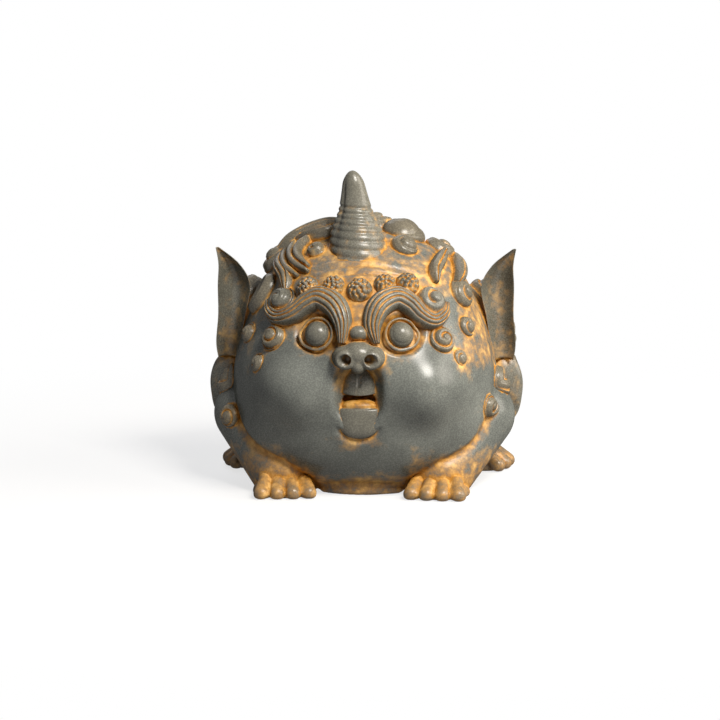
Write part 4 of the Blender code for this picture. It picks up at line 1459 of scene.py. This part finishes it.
@dataclass(frozen=True)
class IronRustGlaze:
    """Iron-grey glaze that breaks to rust where it lies thick in the recesses.

    It gives the eye a dark, softly shining grey on all raised places, a fine dark speckle, and
    warm rust and ochre in every crease.
    """

    name: str
    dark: str = "#2f312e"
    grey: str = "#646762"
    pale: str = "#8c8f88"
    deep: str = "#7d5320"
    rust: str = "#b98334"
    ochre: str = "#d8ae6c"
    rust_start: float = 0.16
    rust_full: float = 0.6
    base_rust: float = 0.0
    pool: float = 0.7
    hollow_pool: float = 0.5
    stain_pool: float = 0.4
    uneven: float = 0.75
    roughness: float = 0.27
    shine: float = 0.03
    speckle_mm: float = 0.4
    fleck_mm: float = 2.6
    cloud_mm: float = 9.0

    def material(self) -> bpy.types.Material:
        """Node material of the glaze.

        Returns:
            The material.
        """
        material = bpy.data.materials.new(self.name)
        tree = empty_tree(material)
        crevice, hollow, stain = (
            add_node(tree, "ShaderNodeAttribute", {"attribute_name": title}).outputs["Fac"]
            for title in ("crevice", "hollow", "stain"))
        cloud = add_noise(tree, self.cloud_mm, 4.0, 0.55)
        grain = add_noise(tree, self.speckle_mm, 3.0, 0.55)
        fleck = add_noise(tree, self.fleck_mm, 5.0, 0.65)
        mottle = add_sum(tree, ((cloud, 0.45), (grain, 0.55)))
        iron = add_ramp(tree, mottle, ((0.18, self.dark), (0.5, self.grey), (0.84, self.pale)))
        thick = add_sum(
            tree, ((crevice, self.pool), (hollow, self.hollow_pool), (stain, self.stain_pool),
                   (fleck, self.uneven), (cloud, 0.7 * self.uneven)), self.base_rust - 0.85 * self.uneven)
        cover = add_node(
            tree, "ShaderNodeMapRange",
            {"interpolation_type": "SMOOTHSTEP", "From Min": self.rust_start, "From Max": self.rust_full},
            {"Value": thick}).outputs["Result"]
        warmth = add_sum(tree, ((fleck, 0.7), (cloud, 0.3)))
        warm = add_ramp(tree, warmth, ((0.36, self.deep), (0.5, self.rust), (0.64, self.ochre)))
        colour = add_node(
            tree, "ShaderNodeMix", {"data_type": "RGBA"}, {"Factor": cover, 6: iron, 7: warm}).outputs[2]
        rough = add_sum(tree, ((cover, 0.16), (grain, 0.12)), self.roughness - 0.06)
        bump = add_bump(tree, mottle, 0.16, 0.12)
        matt = add_node(tree, "ShaderNodeBsdfDiffuse", links={"Color": colour, "Normal": bump}).outputs[0]
        gloss = add_node(
            tree, "ShaderNodeBsdfGlossy", {"Color": linear("#ffffff")},
            {"Roughness": rough, "Normal": bump}).outputs[0]
        glaze = add_node(tree, "ShaderNodeMixShader", {0: self.shine}, {1: matt, 2: gloss}).outputs[0]
        add_node(tree, "ShaderNodeOutputMaterial", links={"Surface": glaze})
        return material


@dataclass(frozen=True)
class BareClay:
    """Unglazed stoneware of the foot: dry, warm and a little sandy."""

    name: str = "bare_stoneware"
    shades: tuple[str, str, str] = ("#6e4a2c", "#98694a", "#b98a63")
    roughness: float = 0.85
    sand_mm: float = 1.4

    def material(self) -> bpy.types.Material:
        """Node material of the clay.

        Returns:
            The material.
        """
        material = bpy.data.materials.new(self.name)
        tree = empty_tree(material)
        sand = add_noise(tree, self.sand_mm, 6.0, 0.5)
        colour = add_ramp(tree, sand, tuple(zip((0.3, 0.5, 0.7), self.shades)))
        shader = add_node(
            tree, "ShaderNodeBsdfPrincipled", {"Roughness": self.roughness, "IOR": 1.45},
            {"Base Color": colour, "Normal": add_bump(tree, sand, 0.5, 0.2)})
        add_node(tree, "ShaderNodeOutputMaterial", links={"Surface": shader.outputs["BSDF"]})
        return material


FINISHES = {
    Slot.BODY: IronRustGlaze("iron_rust_glaze"),
    Slot.RELIEF: IronRustGlaze(
        "iron_rust_glaze_on_relief", "#35342e", "#66645a", "#928f84", pool=0.42, base_rust=0.06),
    Slot.HAIR: IronRustGlaze(
        "iron_rust_glaze_on_hair", "#37342d", "#686254", "#928a77", pool=0.55, base_rust=0.1),
    Slot.PAW: IronRustGlaze("rust_glaze_on_paws", "#564a39", "#82725b", "#a5967c", pool=0.4, base_rust=0.16),
    Slot.FOOT: BareClay()}


@dataclass
class Kiln:
    """Finds the recesses where the glaze pools and hands the pieces over in their finishes."""

    shift: Vector
    near: float = 1.8
    far: float = 6.0
    rays: int = 14
    clear: float = 0.06
    quick_hollow: float = 0.2

    def hollows(self, pieces: Sequence[Clay]) -> list[Array]:
        """How enclosed every vertex is, close by and further off.

        Args:
            pieces: All pieces of the statue.

        Returns:
            Per piece, one crevice and one hollow value per vertex.
        """
        spots = [places_of(piece.bm) for piece in pieces]
        faces, start = [], 0
        for piece, spot in zip(pieces, spots):
            piece.bm.verts.index_update()
            faces.extend([vertex.index + start for vertex in face.verts] for face in piece.bm.faces)
            start += len(spot)
        tree = BVHTree.FromPolygons(np.concatenate(spots).tolist(), faces)
        steps = np.arange(self.rays) + 0.5
        high = np.sqrt(1.0 - steps / self.rays * 0.96)
        turn, flat = steps * GOLDEN_TURN, np.sqrt(1 - high ** 2)
        fan = np.stack([np.cos(turn) * flat, np.sin(turn) * flat, high], axis=1)
        return [self.enclosure(tree, piece, spot, fan) for piece, spot in zip(pieces, spots)]

    def enclosure(self, tree: BVHTree, piece: Clay, spots: Array, fan: Array) -> Array:
        """Cast a fan of rays from every vertex of a piece.

        Args:
            tree: All faces of the statue.
            piece: Piece to measure.
            spots: Places of its vertices.
            fan: Ray directions round +Z.

        Returns:
            One crevice and one hollow value per vertex.
        """
        out = np.array([vertex.normal for vertex in piece.bm.verts])
        aside = unit(np.cross(out, np.where(np.abs(out[:, 2:]) < 0.9, UP, LEFT)))
        frames = np.stack([aside, np.cross(out, aside), out], axis=1)
        starts = (spots + out * self.clear).tolist()
        rays = np.einsum("rk,vkc->vrc", fan, frames).tolist()
        result = np.zeros((len(spots), 2))
        cast, far, near = tree.ray_cast, self.far, self.near
        for index, (origin, directions) in enumerate(zip(starts, rays)):
            close = wide = 0.0
            for direction in directions:
                distance = cast(origin, direction, far)[3]
                if distance is not None:
                    wide += 1.0 - distance / far
                    close += max(1.0 - distance / near, 0.0)
            result[index] = close, wide
        return result / self.rays

    def fire(self, pieces: Sequence[Clay]) -> list[bpy.types.Object]:
        """Glaze all pieces.

        Args:
            pieces: All pieces of the statue.

        Returns:
            The finished objects.
        """
        glazes = {slot: finish.material() for slot, finish in FINISHES.items()}
        for piece in pieces:
            piece.close_up()
        worn = self.hollows(pieces)
        return [piece.hand_over(self.shift, hollow, glazes[piece.slot]) for piece, hollow in zip(pieces, worn)]


# Studio

@dataclass
class Studio:
    """White table under soft studio light, seen from the photograph's angle.

    Places are azimuth from the front towards the statue's left, elevation and distance in metres,
    round the target. A lamp has its name, place, size in metres, watts and colour.
    """

    target: Triple = (0.0, 0.0, 0.040)
    eye: Triple = (3.0, 9.0, 0.7)
    sensor: float = 36.0
    lens: float = 121.3
    shift: Spot = (-0.0083, -0.0299)
    lamps: tuple = (
        ("key_lamp", (32, 44, 0.45), 0.15, 2.7, "#fffaf2"),
        ("side_lamp", (78, 26, 0.6), 0.4, 3.4, "#fff6ea"),
        ("back_lamp", (196, 34, 0.7), 0.4, 2.2, "#f4f6ff"))
    sky: float = 0.05
    table_reach: float = 6.0

    def stand(self, name: str, data: bpy.types.ID, place: Triple) -> bpy.types.Object:
        """Stand a camera or lamp at a place, looking at the target.

        Args:
            name: Name of the object.
            data: Camera or light.
            place: Azimuth, elevation and distance.

        Returns:
            The object.
        """
        turn, rise, distance = math.radians(place[0]), math.radians(place[1]), place[2]
        flat = math.cos(rise) * distance
        off = Vector((math.sin(turn) * flat, -math.cos(turn) * flat, math.sin(rise) * distance))
        thing = bpy.data.objects.new(name, data)
        bpy.context.scene.collection.objects.link(thing)
        thing.location = Vector(self.target) + off
        thing.rotation_euler = (-off).to_track_quat("-Z", "Y").to_euler()
        return thing

    @staticmethod
    def seen(tree: Tree) -> Socket:
        """1 for rays that show the surroundings to the eye, straight or through a shine.

        Args:
            tree: Node tree of a material or world.

        Returns:
            The value output.
        """
        path = add_node(tree, "ShaderNodeLightPath").outputs
        kinds = ("Is Glossy Ray", "Is Transmission Ray", "Is Camera Ray")
        return add_sum(tree, [(path[kind], 1.0) for kind in kinds], clamp=True)

    def table(self) -> bpy.types.Object:
        """White table top that keeps a soft shadow.

        Returns:
            The floor.
        """
        bm = bmesh.new()
        bmesh.ops.create_grid(bm, x_segments=1, y_segments=1, size=self.table_reach)
        mesh = bpy.data.meshes.new("table")
        bm.to_mesh(mesh)
        bm.free()
        floor = bpy.data.objects.new("table", mesh)
        bpy.context.scene.collection.objects.link(floor)
        material = bpy.data.materials.new("white_table")
        tree = empty_tree(material)
        paper, dull = (
            add_node(tree, "ShaderNodeBsdfDiffuse", {"Color": linear(code)}).outputs[0]
            for code in ("#f2f2f2", "#8c8c8c"))
        glow = add_node(tree, "ShaderNodeEmission", {"Color": linear("#ffffff"), "Strength": 1.0}).outputs[0]
        place = add_node(tree, "ShaderNodeTexCoord").outputs["Object"]
        away = add_node(tree, "ShaderNodeVectorMath", {"operation": "LENGTH"}, {0: place}).outputs["Value"]
        share = add_node(
            tree, "ShaderNodeMapRange",
            {"interpolation_type": "SMOOTHSTEP", "From Min": 0.06, "From Max": 0.22, "To Min": 0.7, "To Max": 1.0},
            {"Value": away}).outputs["Result"]
        lit = add_node(tree, "ShaderNodeMixShader", links={0: share, 1: paper, 2: glow}).outputs[0]
        top = add_node(tree, "ShaderNodeMixShader", links={0: self.seen(tree), 1: dull, 2: lit}).outputs[0]
        add_node(tree, "ShaderNodeOutputMaterial", links={"Surface": top})
        mesh.materials.append(material)
        return floor

    def backdrop(self) -> None:
        """White surroundings with a quieter light of their own."""
        world = bpy.data.worlds.new("white_room")
        tree = empty_tree(world)
        quiet, white = (
            add_node(tree, "ShaderNodeBackground", {"Color": linear(code), "Strength": strength}).outputs[0]
            for code, strength in (("#eef0f6", self.sky), ("#ffffff", 1.0)))
        both = add_node(tree, "ShaderNodeMixShader", links={0: self.seen(tree), 1: quiet, 2: white}).outputs[0]
        add_node(tree, "ShaderNodeOutputWorld", links={"Surface": both})
        bpy.context.scene.world = world

    def set_up(self) -> bpy.types.Object:
        """Build the studio.

        Returns:
            The floor, for the stage.
        """
        self.backdrop()
        for name, place, size, watts, colour in self.lamps:
            light = bpy.data.lights.new(name, "AREA")
            light.size, light.energy, light.color = size, watts, linear(colour)[:3]
            self.stand(name, light, place)
        eye = bpy.data.cameras.new("photo_view")
        eye.sensor_width, eye.lens = self.sensor, self.lens
        eye.shift_x, eye.shift_y = self.shift
        bpy.context.scene.camera = self.stand("photo_view", eye, self.eye)
        bpy.context.scene.view_settings.view_transform = "Standard"
        return self.table()


def main() -> None:
    """Build the statue and its studio."""
    logging.basicConfig(level=logging.INFO, format="%(name)s: %(message)s")
    low, high = (Vector(corner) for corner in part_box("base_plate"))
    shift = Vector(((low.x + high.x) / 2, (low.y + high.y) / 2, 0.0))
    form = BodyForm()
    pieces = [Body(form).build(), FootSlab().build(), Horn(form).build()]
    for maker in (Brows(form), Eyes(form), Muzzle(form), Beads(form), Hair(form), Ears(), Wings(form), Paws(),
                  Tail(form)):
        pieces.extend(maker.build())
    for piece in Kiln(shift).fire(pieces):
        LOG.info("%s: %d faces", piece.name, len(piece.data.polygons))
    Studio().set_up()


if __name__ == "__main__":
    main()
